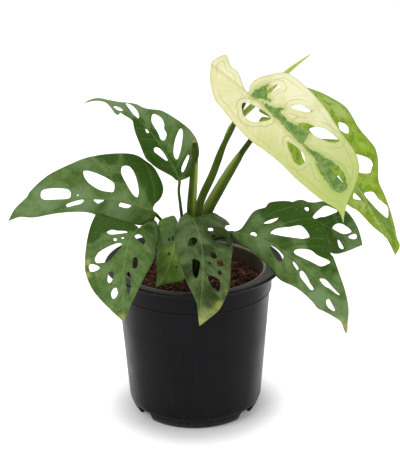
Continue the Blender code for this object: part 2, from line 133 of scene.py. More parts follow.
def remap(tree, value, low, high, toLow=0.0, toHigh=1.0):
    made = addNode(tree, "MapRange", {"Value": value, "From Min": low, "From Max": high,
                                      "To Min": toLow, "To Max": toHigh}, interpolation_type="SMOOTHSTEP")
    return made.outputs["Result"]


def mixed(tree, share, first, second):  # three plain numbers are a 0-255 screen colour
    first, second = (screen(*c) if isinstance(c, tuple) else c for c in (first, second))
    return addNode(tree, "Mix", {0: share, 6: first, 7: second}, data_type="RGBA").outputs[2]


def grain(tree, vector, scale, detail=3.0, rough=0.55, distortion=0.0):
    made = addNode(tree, "TexNoise", {"Vector": vector, "Scale": scale, "Detail": detail,
                                      "Roughness": rough, "Distortion": distortion})
    return made.outputs["Fac"]


def stretched(tree, vector, scale):
    return addNode(tree, "Mapping", {"Vector": vector, "Scale": scale}).outputs[0]


def attribute(tree, name, output="Fac"):
    return addNode(tree, "Attribute", attribute_name=name).outputs[output]


def relief(tree, height, strength, distance, under=None):
    sockets = {"Height": height, "Strength": strength, "Distance": distance}
    if under is not None:
        sockets["Normal"] = under
    return addNode(tree, "Bump", sockets).outputs["Normal"]


def startMaterial(name, **sockets):
    material = bpy.data.materials.new(name)
    material.use_nodes = True
    tree = material.node_tree
    shader = tree.nodes["Principled BSDF"]
    for socket, value in sockets.items():
        shader.inputs[socket.replace("_", " ")].default_value = value
    place = addNode(tree, "TexCoord").outputs["Object"]
    return material, tree, shader, place


def wear(tree, shader, colour=None, rough=None, normal=None):
    for socket, value in (("Base Color", colour), ("Roughness", rough), ("Normal", normal)):
        if value is not None:
            tree.links.new(value, shader.inputs[socket])


# small helpers for shapes

def addPiece(name, bm, materials, slot, replaced=(), sharp=None):
    mesh = bpy.data.meshes.new(name)
    bm.to_mesh(mesh)
    bm.free()
    mesh.shade_smooth()
    if sharp is not None:
        mesh.set_sharp_from_angle(angle=math.radians(sharp))
    for material in materials:
        mesh.materials.append(material)
    piece = bpy.data.objects.new(name, mesh)
    scene.collection.objects.link(piece)
    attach(piece, "root")
    if replaced:
        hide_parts(*replaced)
    return piece


def throughPoints(points, steps, closed=False):  # smooth curve through the given points
    points = [Vector(p) for p in points]
    count = len(points)

    def at(k):
        if closed:
            return points[k % count]
        if k < 0:
            return 2 * points[0] - points[1]
        if k >= count:
            return 2 * points[-1] - points[-2]
        return points[k]

    path = []
    for k in range(count if closed else count - 1):
        a, b, c, d = at(k - 1), at(k), at(k + 1), at(k + 2)
        for step in range(steps):
            t = step / steps
            path.append(0.5 * (2 * b + (c - a) * t + (2 * a - 5 * b + 4 * c - d) * t * t
                               + (3 * b - a - 3 * c + d) * t ** 3))
    if not closed:
        path.append(points[-1])
    return path


def evenly(path, gap, closed=False):  # the same curve with points at an even distance
    points = list(path) + ([path[0]] if closed else [])
    run = [0.0]
    for a, b in zip(points, points[1:]):
        run.append(run[-1] + (b - a).length)
    count = max(5 if closed else 1, round(run[-1] / gap))
    made, k = [], 0
    for step in range(count if closed else count + 1):
        want = run[-1] * step / count
        while k < len(run) - 2 and run[k + 1] < want:
            k += 1
        made.append(points[k].lerp(points[k + 1], (want - run[k]) / max(run[k + 1] - run[k], 1e-9)))
    return made


def spinAround(bm, profile, steps):  # (radius, height) in mm about the pot's axis
    points = [bm.verts.new((r * mm, 0, z * mm)) for r, z in profile]
    edges = [bm.edges.new(pair) for pair in zip(points, points[1:])]
    bmesh.ops.spin(bm, geom=points + edges, cent=(0, 0, 0), axis=(0, 0, 1), angle=math.tau,
                   steps=steps, use_merge=True)
    bmesh.ops.remove_doubles(bm, verts=bm.verts[:], dist=1e-6)
    bmesh.ops.recalc_face_normals(bm, faces=bm.faces[:])


def growStalk(bm, path, radius, sides, shape=None, begin=0.0):
    # extrudes a ring along a path in mm; radius(share) is in mm and shape(angle, share) scales it;
    # alongStalk runs from begin to begin + 1, aroundStalk from -1 on the left to 1 on the right
    along = bm.verts.layers.float.get("alongStalk") or bm.verts.layers.float.new("alongStalk")
    around = bm.verts.layers.float.get("aroundStalk") or bm.verts.layers.float.new("aroundStalk")
    count = len(path)
    side = Vector((1, 0, 0))
    ring = bmesh.ops.create_circle(bm, cap_ends=False, segments=sides, radius=1)["verts"]
    first = ring
    for index, centre in enumerate(path):
        ahead = (path[min(index + 1, count - 1)] - path[max(index - 1, 0)]).normalized()
        side = (side - ahead * side.dot(ahead)).normalized()
        above = ahead.cross(side)
        reachRight = max(0.25, math.sqrt(max(1 - ahead.x ** 2, 0)))
        if index:
            edges = list({e for v in ring for e in v.link_edges if e.other_vert(v) in ring})
            made = bmesh.ops.extrude_edge_only(bm, edges=edges)["geom"]
            fresh = {v for v in made if isinstance(v, bmesh.types.BMVert)}
            ring = [next(e.other_vert(v) for e in v.link_edges if e.other_vert(v) in fresh) for v in ring]
        share = index / (count - 1)
        for k, vertex in enumerate(ring):
            angle = math.tau * k / sides
            reach = radius(share) * (shape(angle, share) if shape else 1.0)
            out = side * math.cos(angle) + above * math.sin(angle)
            vertex.co = (centre + out * reach) * mm
            vertex[along] = begin + share
            vertex[around] = out.x / reachRight
    bmesh.ops.contextual_create(bm, geom=first)
    bmesh.ops.contextual_create(bm, geom=ring)


def between(share, stops):  # value at a share of the way, from (share, value) stops
    return float(np.interp(share, [s for s, _ in stops], [v for _, v in stops]))


def makeFloor():
    material, tree, shader, place = startMaterial("studioFloor", Roughness=0.75)
    shader.inputs["Base Color"].default_value = (*studio["floorColour"], 1)
    shader.inputs["Emission Color"].default_value = (1, 1, 1, 1)
    (near, low), (far, high) = studio["floorGlowWithPaintedShadow"]
    # the emission drops towards the pot: a painted soft contact shadow around shadowMiddle
    away = addNode(tree, "VectorMath", {0: place, 1: studio["shadowMiddle"]}, operation="DISTANCE")
    glowWithPaintedShadow = remap(tree, away.outputs["Value"], near, far, low, high)
    tree.links.new(glowWithPaintedShadow, shader.inputs["Emission Strength"])
    bm = bmesh.new()
    bmesh.ops.create_grid(bm, x_segments=1, y_segments=1, size=studio["floorWidth"] / 2)
    mesh = bpy.data.meshes.new("floor")
    bm.to_mesh(mesh)
    bm.free()
    mesh.materials.append(material)
    floor = bpy.data.objects.new("floor", mesh)
    scene.collection.objects.link(floor)


makeFloor()
print("studio ready")


# nursery pot

pot = dict(
    steps=144,
    outside=[  # radius and height in mm, from the floor's edge out and up to the lip
        (49.7, 8.6), (49.7, 0.5), (50.1, 0), (51.8, 0), (52.4, 0.4), (53.2, 1.5), (54.6, 3.7), (55.5, 6),
        (56.0, 8.2), (56.15, 9.0), (56.7, 9.5), (57.0, 10.2), (57.3, 12), (58.0, 22), (60.0, 50),
        (62.2, 80), (64.0, 106.4), (64.15, 107.7), (64.9, 108.2), (65.55, 108.7), (65.6, 109.3),
        (65.35, 109.8), (65.5, 111), (66.1, 122), (66.5, 124.6), (67.3, 126), (69.5, 127),
        (73.2, 127.7), (74.4, 128.1), (74.9, 128.8), (75.0, 129.5), (74.7, 130.2), (74.1, 130.55),
        (73.2, 130.6)],
    inside=[  # from the lip in and down to the floor
        (71.5, 130.25), (66, 128.5), (61.2, 126.7), (60.2, 126.45), (59.3, 126.2), (58.6, 125.7),
        (58.3, 124.9), (58.2, 123.5), (57.8, 106), (61.7, 101), (55.8, 14), (55.2, 11.6), (54.2, 10.5),
        (49.7, 10.3)],
    notches=(37.5, 142.5, 217.5, 322.5), notchHalfAngle=7.6, notchHeight=8.1,
    floorSkins=(8.6, 10.3), floorRadius=49.7, padRadius=13, padHeight=8.9,
    drains=6, drainRadius=4.0, drainRing=33)


def blackPlastic():
    material, tree, shader, place = startMaterial("blackPlastic", Roughness=0.4)
    sheen = addNode(tree, "LayerWeight", {"Blend": 0.5}).outputs["Facing"]
    tree.links.new(remap(tree, sheen, 0.45, 0.95, 0.09, 0.4), shader.inputs["Specular IOR Level"])
    parts = addNode(tree, "SeparateXYZ", {"Vector": place})
    x, y, height = (parts.outputs[axis] for axis in "XYZ")
    radius = calc(tree, "SQRT", plus(tree, times(tree, x, x), times(tree, y, y)))
    normal = addNode(tree, "NewGeometry").outputs["Normal"]
    facing = addNode(tree, "SeparateXYZ", {"Vector": normal}).outputs["Z"]
    mottle = grain(tree, place, 45, 5, 0.6)
    streaks = grain(tree, stretched(tree, place, (1, 1, 0.06)), 260, 4, 0.6)
    specks = grain(tree, place, 900, 3, 0.7)
    plain = mixed(tree, remap(tree, mottle, 0.35, 0.7), (9, 10, 12), (17, 17, 20))
    plain = mixed(tree, remap(tree, streaks, 0.55, 0.8, 0, 0.3), plain, (38, 38, 40))
    # dust on top of the lip and on the wall above the potting mix
    onTop = times(tree, remap(tree, facing, 0.2, 0.8), remap(tree, height, 0.118, 0.127))
    dust = times(tree, onTop, remap(tree, mottle, 0.3, 0.75, 0.1, 0.38))
    plain = mixed(tree, dust, plain, (86, 82, 76))
    # the inner rim ring: beige dust and a painted highlight
    dustyRimHighlight = times(tree, remap(tree, radius, 0.0616, 0.0598), remap(tree, height, 0.1242, 0.1256))
    dustyRimHighlight = times(tree, dustyRimHighlight, remap(tree, mottle, 0.3, 0.6, 0.5, 0.95))
    plain = mixed(tree, dustyRimHighlight, plain, (158, 143, 122))
    inner = times(tree, remap(tree, radius, 0.0588, 0.0583), remap(tree, height, 0.104, 0.108))
    dirt = mixed(tree, remap(tree, specks, 0.4, 0.65), (72, 64, 52), (112, 102, 86))
    plain = mixed(tree, times(tree, inner, 0.85), plain, dirt)
    scuff = times(tree, remap(tree, height, 0.014, 0.002), remap(tree, specks, 0.45, 0.7, 0, 0.5))
    plain = mixed(tree, scuff, plain, (96, 92, 86))
    matt = remap(tree, mottle, 0.3, 0.75, 0.36, 0.5)
    matt = plus(tree, matt, times(tree, calc(tree, "MAXIMUM", dust, inner), 0.3))
    bumps = relief(tree, specks, 0.10, 0.0002)
    bumps = relief(tree, streaks, 0.10, 0.0004, bumps)
    wear(tree, shader, plain, matt, bumps)
    return material


def makePot():
    bm = bmesh.new()
    spinAround(bm, pot["outside"] + pot["inside"], pot["steps"])
    # four notches lift the rim that the pot stands on
    for vertex in bm.verts:
        x, y, z = vertex.co
        turn = math.degrees(math.atan2(y, x)) % 360
        off = min(abs((turn - notch + 180) % 360 - 180) for notch in pot["notches"])
        if off < pot["notchHalfAngle"]:
            vertex.co.z = max(z, pot["notchHeight"] * mm)
    # floor of the pot, with drain holes between its two skins
    skins = []
    for z in pot["floorSkins"]:
        onRim = {v for v in bm.verts if abs(v.co.z - z * mm) < 1e-6
                 and abs(math.hypot(v.co.x, v.co.y) - pot["floorRadius"] * mm) < 1e-5}
        rim = [e for e in bm.edges if onRim.issuperset(e.verts)]
        rings = []
        for index in range(pot["drains"]):
            turn = math.tau * (index + 0.5) / pot["drains"]
            spot = Matrix.Translation((math.cos(turn) * pot["drainRing"] * mm,
                                       math.sin(turn) * pot["drainRing"] * mm, z * mm))
            ring = bmesh.ops.create_circle(bm, cap_ends=False, segments=24, matrix=spot,
                                           radius=pot["drainRadius"] * mm)["verts"]
            rings.append(list({e for v in ring for e in v.link_edges}))
        bmesh.ops.triangle_fill(bm, use_beauty=True, edges=rim + [e for ring in rings for e in ring])
        skins.append(rings)
    for low, high in zip(*skins):
        bmesh.ops.bridge_loops(bm, edges=low + high)
    bmesh.ops.recalc_face_normals(bm, faces=bm.faces[:])
    pad = bmesh.ops.create_cone(bm, cap_ends=True, segments=48, radius1=pot["padRadius"] * mm,
                                radius2=(pot["padRadius"] + 1) * mm, depth=pot["padHeight"] * mm,
                                matrix=Matrix.Translation((0, 0, pot["padHeight"] / 2 * mm)))["verts"]
    bmesh.ops.bevel(bm, geom=[e for e in {e for v in pad for e in v.link_edges} if e.calc_length() > 0],
                    offset=0.3 * mm, affect="EDGES", segments=1, profile=0.5, material=-1)
    addPiece("nursery_pot_shell", bm, [blackPlastic()], "pot", ["nursery_pot"], sharp=34)


makePot()
print("pot made")


# potting mix: a lumpy fill and loose bark chips on it

mix = dict(
    wall=[(0, 10.7), (53.6, 10.7), (54.9, 14.3), (61.2, 100.6), (57.4, 105.8), (57.6, 112.0)],
    top=112.0, rings=34, steps=120, lump=1.2, chips=1150, smallChips=900,
    chipSizes=(1.8, 4.4), smallSizes=(0.9, 1.7), chipReach=56.8, stemClear=6.5)


def barkMix(name, light, dark, chipTone=False):
    material, tree, shader, place = startMaterial(name, Roughness=0.9, Specular_IOR_Level=0.25)
    fibres = grain(tree, place, 700, 5, 0.65, 0.8)
    clumps = grain(tree, place, 170, 3, 0.6)
    colour = mixed(tree, remap(tree, clumps, 0.35, 0.65), dark, light)
    if chipTone:
        tone = attribute(tree, "chipTone")
        colour = mixed(tree, remap(tree, tone, 0.0, 1.0), (44, 24, 16), (134, 76, 54))
        colour = mixed(tree, remap(tree, tone, 0.86, 1.0), colour, (160, 112, 84))
    colour = mixed(tree, remap(tree, fibres, 0.3, 0.72, 0.1, 0.65), colour, dark)
    wear(tree, shader, colour, remap(tree, fibres, 0.3, 0.7, 0.8, 0.98), relief(tree, fibres, 0.5, 0.0006))
    return material


def makeMix():
    width = mix["wall"][-1][0]
    top = [(width * (1 - k / mix["rings"]), mix["top"]) for k in range(1, mix["rings"] + 1)]
    bm = bmesh.new()
    spinAround(bm, mix["wall"] + top, mix["steps"])
    for vertex in bm.verts:
        if vertex.co.z > (mix["top"] - 0.5) * mm:
            spot = vertex.co / mm
            high = noise.noise(spot * 0.10) * 1.6 + noise.noise(spot * 0.33) + 0.5 * noise.noise(spot * 0.9)
            vertex.co.z += mix["lump"] * high * mm
    finish = barkMix("darkMix", (88, 50, 38), (36, 20, 15))
    addPiece("potting_mix_fill", bm, [finish], "soil", ["potting_mix"])

    chance = random.Random(7)
    bm = bmesh.new()
    tone = bm.verts.layers.float.new("chipTone")
    for index in range(mix["chips"] + mix["smallChips"]):
        small = index >= mix["chips"]
        reach = mix["chipReach"] * math.sqrt(chance.random())
        turn = chance.uniform(0, math.tau)
        size = chance.uniform(*mix["smallSizes" if small else "chipSizes"])
        spot = Vector((reach * math.cos(turn), reach * math.sin(turn), 0))
        if spot.length > mix["chipReach"] - size * 0.4 or spot.length < mix["stemClear"]:
            continue
        high = noise.noise((spot + Vector((0, 0, mix["top"]))) * 0.10) * 1.6 * mix["lump"]
        spot.z = mix["top"] + high + chance.uniform(-0.2, 0.9)
        lying = Matrix.Translation(spot * mm) @ Matrix.Rotation(chance.uniform(0, math.tau), 4, "Z")
        for axis in "XY":
            lying = lying @ Matrix.Rotation(chance.gauss(0, 0.35), 4, axis)
        wide, thick = chance.uniform(0.45, 0.8), chance.uniform(0.25, 0.5)
        lying = lying @ Matrix.Diagonal((size * mm, size * wide * mm, size * thick * mm, 1))
        if small:
            chip = bmesh.ops.create_icosphere(bm, subdivisions=1, radius=0.55, matrix=lying)
        else:
            chip = bmesh.ops.create_cube(bm, size=1.0, matrix=lying)
        shade = chance.random()
        for vertex in chip["verts"]:
            vertex.co += Vector([chance.uniform(-0.13, 0.13) * size * mm for _ in range(3)])
            vertex[tone] = shade
    edges = [e for e in bm.edges if all(len(f.verts) == 4 for f in e.link_faces)]
    bmesh.ops.bevel(bm, geom=edges, offset=0.22 * mm, affect="EDGES", segments=1, profile=0.5,
                    material=-1, clamp_overlap=True)
    finish = barkMix("barkChips", (128, 78, 58), (40, 22, 16), chipTone=True)
    addPiece("bark_chips", bm, [finish], "soil", sharp=30)


makeMix()
print("potting mix made")


# leaf blades

leafStyle = dict(
    cells=(1.25, 1.4, 1.5, 1.6, 1.1), edgeGap=1.25, thickness=0.42,  # grids to try, outline, blade, in mm
    steps=140, bendReach=30.0,  # points along the midrib; a half curls by its angle over this many mm
    veinGap=12.5, vein=0.004, fan=27.0,  # side veins in mm, their curve, and the fan behind the base
    quilt=0.85, veinSink=0.25, midribSink=0.45)  # relief in mm

# base, heading, rise and so on place the midrib; left and right are the margin from tip to base and
# from base to tip, holes are outlines, all flat in mm as (along the midrib, across it)
# the spot lists mark wear, painted shade (saturated deep green) and painted sheen (pale grey-green), each
# as (along, across, size, strength)
leaves = {}

leaves["upper_left"] = dict(
    base=(-10.7, 12, 196.6), length=112, heading=138, sweep=55, rise=59, droop=20, hook=61, roll=-52,
    twist=-8, fold=(-15, 4), curl=(30, 22), lean=(62, 20), wave=0.5,
    left=[(108.5, 0.4), (98.5, 0.6), (92, 2), (83.5, 7), (79, 7.5), (78, 4.6), (76, 5), (67.5, 4.4),
          (64.5, 4.8), (60, 8), (51.5, 12), (34, 17), (26, 16), (18, 13), (6.5, 5), (2, 3)],
    right=[(0, -8.5), (3.5, -14.5), (11, -22.5), (15.5, -25.5), (22, -28), (28, -28.5), (34.5, -27.5),
           (52, -20.5), (56.5, -17.5), (61, -13), (65.5, -10), (71.5, -8.5), (82.5, -3), (92, -1.4),
           (98.5, -1.8), (103, -1.6)],
    holes=[[(86, 3), (82.5, 1.4), (77, 2), (81, 4)],
           [(78, -4), (74, -5.5), (67.5, -4.5), (63, -1.5), (64.5, 0.5), (72.5, -1.5)],
           [(57, -11.5), (52, -14.5), (46.5, -13.5), (43, -10.5), (38.5, -9.5), (35.5, -5), (38, -3),
            (44, -4.5), (49, -5), (54, -6.5)],
           [(36, -21.5), (33, -22), (21, -11), (17, -5.5), (21.5, -5), (27.5, -9), (32.5, -14.5)],
           [(16, -15), (14, -15.5), (6, -6.5), (6.5, -4.5), (10.5, -7)],
           [(35, 6), (33.5, 3), (29, 1.5), (21, 1.2), (20.5, 3), (27, 6), (33, 7.5)],
           [(52.5, 1.7), (50.5, 0.9), (48, 1.5), (49.5, 3)]],
    paintedShade=[(25, 9, 12, 1.2), (45, 8, 11, 1.2), (60, 5, 7, 0.9), (10, 4, 9, 1.2), (8, -10, 8, 0.8)],
    paintedSheen=[(92, 0, 16, 1.0), (72, -6, 10, 0.8), (28, -26, 9, 0.7), (48, -18, 8, 0.5)])
leaves["mid_left"] = dict(
    base=(-32.2, -5, 176.3), length=125, heading=198, sweep=-16, rise=31, droop=62, hook=1, roll=-58,
    twist=-4, fold=(-32, 6), curl=(28, 22), lean=(78, 18), wave=0.6,
    left=[(120, 0.8), (114.5, 2), (100.5, 8.5), (61.5, 12.5), (47, 16.5), (37, 18), (24.5, 19), (6, 17),
          (1, 13), (-3, 8.5), (-4, 5)],
    right=[(1.5, -2), (1, -6), (-1.5, -10.5), (-3, -16), (-2.5, -22.5), (1.5, -30), (7, -38.5), (13, -42),
           (25, -45), (55.5, -35), (68, -29.5), (83, -23.5), (89, -20.5), (100, -14), (104, -10.5),
           (115.5, -6)],
    holes=[[(93, -9), (89, -12), (74, -9), (70.5, -6), (70.5, -3), (72, -1), (78, -1), (91.5, -4)],
           [(59.5, -21.5), (57.5, -23), (51, -21), (38.5, -14.5), (36.5, -11), (37, -6), (41, -5.5),
            (48, -6.5), (55, -11), (58.5, -16)],
           [(32, -28.5), (29.5, -31), (25.5, -31), (21.5, -25.5), (17, -13), (16.5, -7), (18, -5.5),
            (22, -7.5), (27.5, -14.5), (32, -22.5)],
           [(75.5, 5.5), (73.5, 3.5), (62.5, 1.4), (60.5, 2.5), (63.5, 5.5), (70.5, 6.5), (74.5, 6.5)],
           [(52.5, 2), (49.5, 0.8), (43.5, 1), (45.5, 3.5), (48.5, 5), (51.5, 3.5)],
           [(30.5, 3.5), (29, 1.2), (25, 0.9), (20.5, 1.8), (21, 4.5), (23.5, 6), (27.5, 5.5), (30, 6)],
           [(65.5, -3), (64.5, -3), (64.5, -2), (65.5, -2)]],
    paintedShade=[(6, -30, 15, 1.3), (20, -38, 11, 1.2), (1, -14, 10, 1.2), (42, -37, 9, 0.8), (34, -18, 5, 0.8)],
    paintedSheen=[(62, 4, 13, 0.8), (88, -6, 13, 0.8), (30, 8, 13, 0.8), (58, -28, 9, 0.4), (108, 0, 12, 0.7)])
leaves["lower_left"] = dict(
    base=(-43.5, -29, 170), length=89, heading=249, sweep=25, rise=6, droop=118, hook=-37, roll=-34,
    twist=36, fold=(-6, 6), curl=(25, 10), lean=(72, 25), wave=0.4,
    left=[(81.5, 4), (75.5, 6.5), (64.5, 12), (47, 19.5), (34.5, 23), (12, 25), (-9, 19.5), (-24, 11),
          (-30.5, 4), (-31.5, -0.5), (-18.5, -1.2), (-6, -0.8)],
    right=[(0.5, -3), (3.5, -8), (7.5, -15), (10.5, -24), (12, -32.5), (18, -33), (46, -30.5), (54, -28.5),
           (59.5, -26), (64.5, -23), (71, -17.5), (86.5, -2.5)],
    holes=[[(23, -19), (20, -16), (18.5, -11.5), (15, -5.5), (16, -4.5), (20, -9), (23.5, -14.5),
            (24, -18)],
           [(28, -7.5), (37.5, -19.5), (40.5, -22), (44, -23), (46, -21), (45, -15.5), (44, -12.5),
            (34.5, -6.5), (29.5, -4.5)],
           [(48, -27), (47, -25), (47.5, -21), (49, -18.5), (51, -21), (52, -25), (50.5, -26.5)],
           [(14, 2), (9, 3.5), (8, 7), (9, 11), (15.5, 12), (17.5, 8.5), (16, 4)],
           [(37, 6.5), (35.5, 9.5), (40.5, 11), (45, 10.5), (46, 7.5), (41.5, 7)],
           [(50.5, 3), (50.5, 5.5), (58.5, 6.5), (66.5, 5.5), (66.5, 3.5), (58.5, 2.5)],
           [(51, -11), (51.5, -7.5), (56, -8), (59, -10), (57.5, -12)],
           [(67, -9), (63.5, -7.5), (62.5, -5), (64, -3.5), (67.5, -4), (70.5, -6), (70.5, -8)],
           [(26.5, -12.5), (25.3, -10.4), (27, -9.6), (28, -11.5)],
           [(23, -7), (21.5, -5), (23.3, -5), (24, -6.5)]],
    worn=[(45.6, -27, 2.2, 0.75), (46.5, -30, 2.4, 0.7), (53.5, -26.5, 2.2, 0.7), (54.5, -29, 2.2, 0.7),
          (52.5, -21, 1.8, 0.6), (86, -1, 5, 0.6), (78, -9, 3, 0.4)],
    paintedShade=[(14, -28, 12, 1.5), (9, -14, 10, 1.5), (26, -31, 8, 1.2), (3, -5, 8, 1.1), (-12, 2, 8, 0.8)],
    paintedSheen=[(62, -8, 15, 0.3), (40, 10, 13, 0.35), (14, 14, 11, 0.5), (72, 2, 9, 0.3)])
leaves["small_front"] = dict(
    base=(-12.6, -6, 166.8), length=59, heading=266, sweep=-51, rise=-39, droop=49, hook=-72, roll=-5,
    twist=0, fold=(5, -4), curl=(20, 20), lean=(65, 35), wave=0.4,
    left=[(51, 9), (48, 15), (44.5, 18.5), (36, 19), (22.5, 16.5), (8.5, 11), (-1, 5.5), (-5, 2)],
    right=[(-6, -3.5), (-5, -8.5), (-3, -13.5), (0.5, -16.5), (13, -15.5), (27, -15), (40.5, -13),
           (53.5, -5.5)],
    holes=[[(15, -6.5), (15, -5), (17.5, -4.5), (18, -6)],
           [(14, -3.5), (13, -2), (17.5, -1.2), (18.5, -2.5)],
           [(28, -4), (28, -2.5), (29.5, -2), (30, -3.5)],
           [(37, 7), (37.5, 8.5), (39, 8), (38, 6.5)]],
    paintedSheen=[(4, 0, 13, 1.2), (16, -8, 9, 1.0), (16, 9, 10, 1.0)])
leaves["front"] = dict(
    base=(-0.9, -14, 173.8), length=105, heading=290, sweep=-39, rise=-19, droop=20, hook=54, roll=5,
    twist=-5, fold=(-4, 2), curl=(28, 24), lean=(72, 30), wave=0.5,
    left=[(98, 8), (92, 14), (87.5, 16.5), (80, 19), (71.5, 21), (48.5, 23), (34, 26), (17.5, 27.5),
          (13.5, 25), (9, 28.5), (6, 33.5), (0.5, 32), (-3, 27), (-6.5, 21.5), (-2.5, 12.5), (1, 4.5)],
    right=[(-6, -1.5), (-5.5, -5), (8.5, -16), (14.5, -18.5), (26.5, -20.5), (40, -20.5), (53, -17.5),
           (62.5, -15), (72, -11.5), (85.5, -4), (90, -2.4)],
    holes=[[(33.5, -11), (27, -9), (25, -5.5), (27, -2.5), (32.5, -4), (35.5, -7.5)],
           [(50, -8.5), (49, -6.5), (51.5, -2.5), (59.5, -3), (65.5, -4), (67, -5.5), (62, -8)],
           [(23, 11.5), (22.5, 16.5), (24.5, 22.5), (30, 21), (30.5, 15), (28.5, 10)],
           [(32, 21.5), (31.5, 24), (33.5, 23.5), (34.5, 21)],
           [(43.5, 6.5), (43.5, 10), (46.5, 11.5), (48.5, 10.5), (47.5, 7)],
           [(51, 11), (49.5, 14.5), (52, 16.5), (55, 15.5), (54.5, 12.5)],
           [(52.5, 4.5), (52.5, 6), (54.5, 6), (54.5, 4.5)],
           [(59.5, 11.5), (59, 14), (61.5, 15), (63, 12.5)],
           [(65.5, 4), (64.5, 7), (68, 13.5), (77, 13.5), (76.5, 11), (72, 6.5)],
           [(16, 9), (15.5, 13), (18.5, 12.5), (19, 9)]],
    worn=[(104, 1, 8, 0.75), (97, 4, 8, 0.45), (88, 15, 5, 0.6), (94, 10, 5, 0.5), (76, 19, 4, 0.35)],
    paintedShade=[(60, -14, 8, 0.8), (24, 16, 12, 1.0), (78, 2, 8, 0.7), (40, 3, 8, 0.7), (84, 9, 7, 0.7)],
    paintedSheen=[(30, -14, 9, 0.5), (96, 6, 8, 0.5)])
leaves["right_front"] = dict(
    base=(31.7, -14, 160.4), length=136, heading=-36, sweep=27, rise=6, droop=86, hook=-5, roll=58,
    twist=4, fold=(4, -24), curl=(24, 26), lean=(66, 18), wave=0.6,
    left=[(132.5, 2), (127, 4), (115.5, 9.5), (93, 16.5), (80, 22), (76, 23), (62.5, 35.5), (52, 37.5),
          (43, 40), (33.5, 39.5), (23, 33.5), (20.5, 30.5), (20, 26.5), (15, 22.5), (12.5, 18.5),
          (11, 12.5), (7.5, 3.5)],
    right=[(0, -2.5), (4, -7), (10, -10.5), (19, -12), (41, -19.5), (60, -24), (81.5, -18.5), (97.5, -15),
           (106, -14), (111.5, -10), (123, -1.8), (127, -0.8), (131.5, -0.8)],
    holes=[[(17, 1), (18, 3), (21.5, 3.5), (23, 1.5), (21, 0.4), (18.5, 0.4)],
           [(24.5, 13), (27, 17), (30.5, 20.5), (32.5, 22), (32, 19), (29, 15)],
           [(32.5, 8), (35, 13), (43, 19.5), (49.5, 25.5), (58, 22), (56.5, 18), (53.5, 15.5), (43.5, 10.5),
            (35.5, 8)],
           [(56, 4), (56.5, 7), (61, 11), (65.5, 13.5), (71.5, 14), (80.5, 17.5), (80.5, 14), (78.5, 9.5),
            (74, 7.5), (60, 3.5)],
           [(36.5, -2), (40.5, -1), (47.5, -2.5), (51, -4.5), (51, -9.5), (47, -10), (40, -6)],
           [(59.5, -3), (63, -3), (67, -4.5), (67, -6.5), (62.5, -5.5)],
           [(70, -6.5), (70.5, -4), (75, -4.5), (82.5, -6.5), (88.5, -7.5), (88, -10), (81.5, -10.5),
            (74, -9.5)],
           [(85, 1.6), (87, 4.5), (90.5, 5.5), (97, 6), (104.5, 7.5), (102, 5.5), (96, 3.5), (91.5, 1.4)],
           [(102.5, -4), (102.5, -1.8), (106.5, -1.6), (113, -1.8), (113.5, -3.5), (108.5, -6),
            (104.5, -5.5)],
           [(55.5, 28.5), (56.5, 29), (58, 27), (56.5, 27)],
           [(68.3, 27.2), (69, 28), (71.2, 26), (70.5, 25)]],
    worn=[(136, 0, 9, 1.0), (124, -1, 4, 0.5)],
    paintedShade=[(40, 34, 14, 1.3), (56, 30, 12, 1.3), (70, 20, 10, 1.1), (27, 26, 10, 1.1), (84, 12, 7, 0.7),
           (46, 6, 7, 0.7)],
    paintedSheen=[(98, -12, 12, 0.9), (118, 4, 12, 0.8), (84, -15, 9, 0.7), (28, -6, 10, 0.5)])
leaves["right_back"] = dict(
    base=(88, 22, 163.9), length=70, heading=18, sweep=-10, rise=-24, droop=20, hook=-21, roll=45, twist=0,
    fold=(5, 5), curl=(20, 20), lean=(66, 30), wave=0.4,
    left=[(67.5, 6), (63, 14.5), (56.5, 21.5), (49.5, 26), (42, 27.5), (33, 26), (24, 23), (17.5, 18),
          (10.5, 15), (5, 15), (-1, 12), (-5.5, 8), (-6, 3)],
    right=[(-6, -3), (-4, -7.5), (2, -7.5), (9.5, -8.5), (15.5, -14), (21.5, -20.5), (30, -23.5),
           (40.5, -22.5), (47.5, -20), (54.5, -14.5), (66, -3.5)],
    holes=[[(7, 7.5), (10.5, 9), (11, 6), (7.5, 4.5)],
           [(16, 2.5), (20.5, 10.5), (27, 19.5), (33, 21.5), (39.5, 21), (35.5, 15.5), (28, 8), (22.5, 4.5),
            (18.5, 1.4)],
           [(37.5, 1.2), (39, 5.5), (43, 9), (49, 10.5), (56.5, 8.5), (54.5, 5), (49, 1.4), (43, 0.8)],
           [(55, 1), (56, 3.5), (61, 7.5), (63, 6.5), (62.5, 3), (58, 1)],
           [(44.5, -8.5), (46, -6.5), (50, -9), (52.5, -11.5), (51, -13.5), (47.5, -13.5)]],
    paintedShade=[(8, -2, 12, 0.7), (25, -10, 14, 1.0), (44, -15, 10, 0.9), (30, 6, 10, 0.8), (46, 18, 10, 0.8)],
    paintedSheen=[(60, -2, 10, 0.6), (36, -20, 8, 0.5), (20, 14, 9, 0.6)])
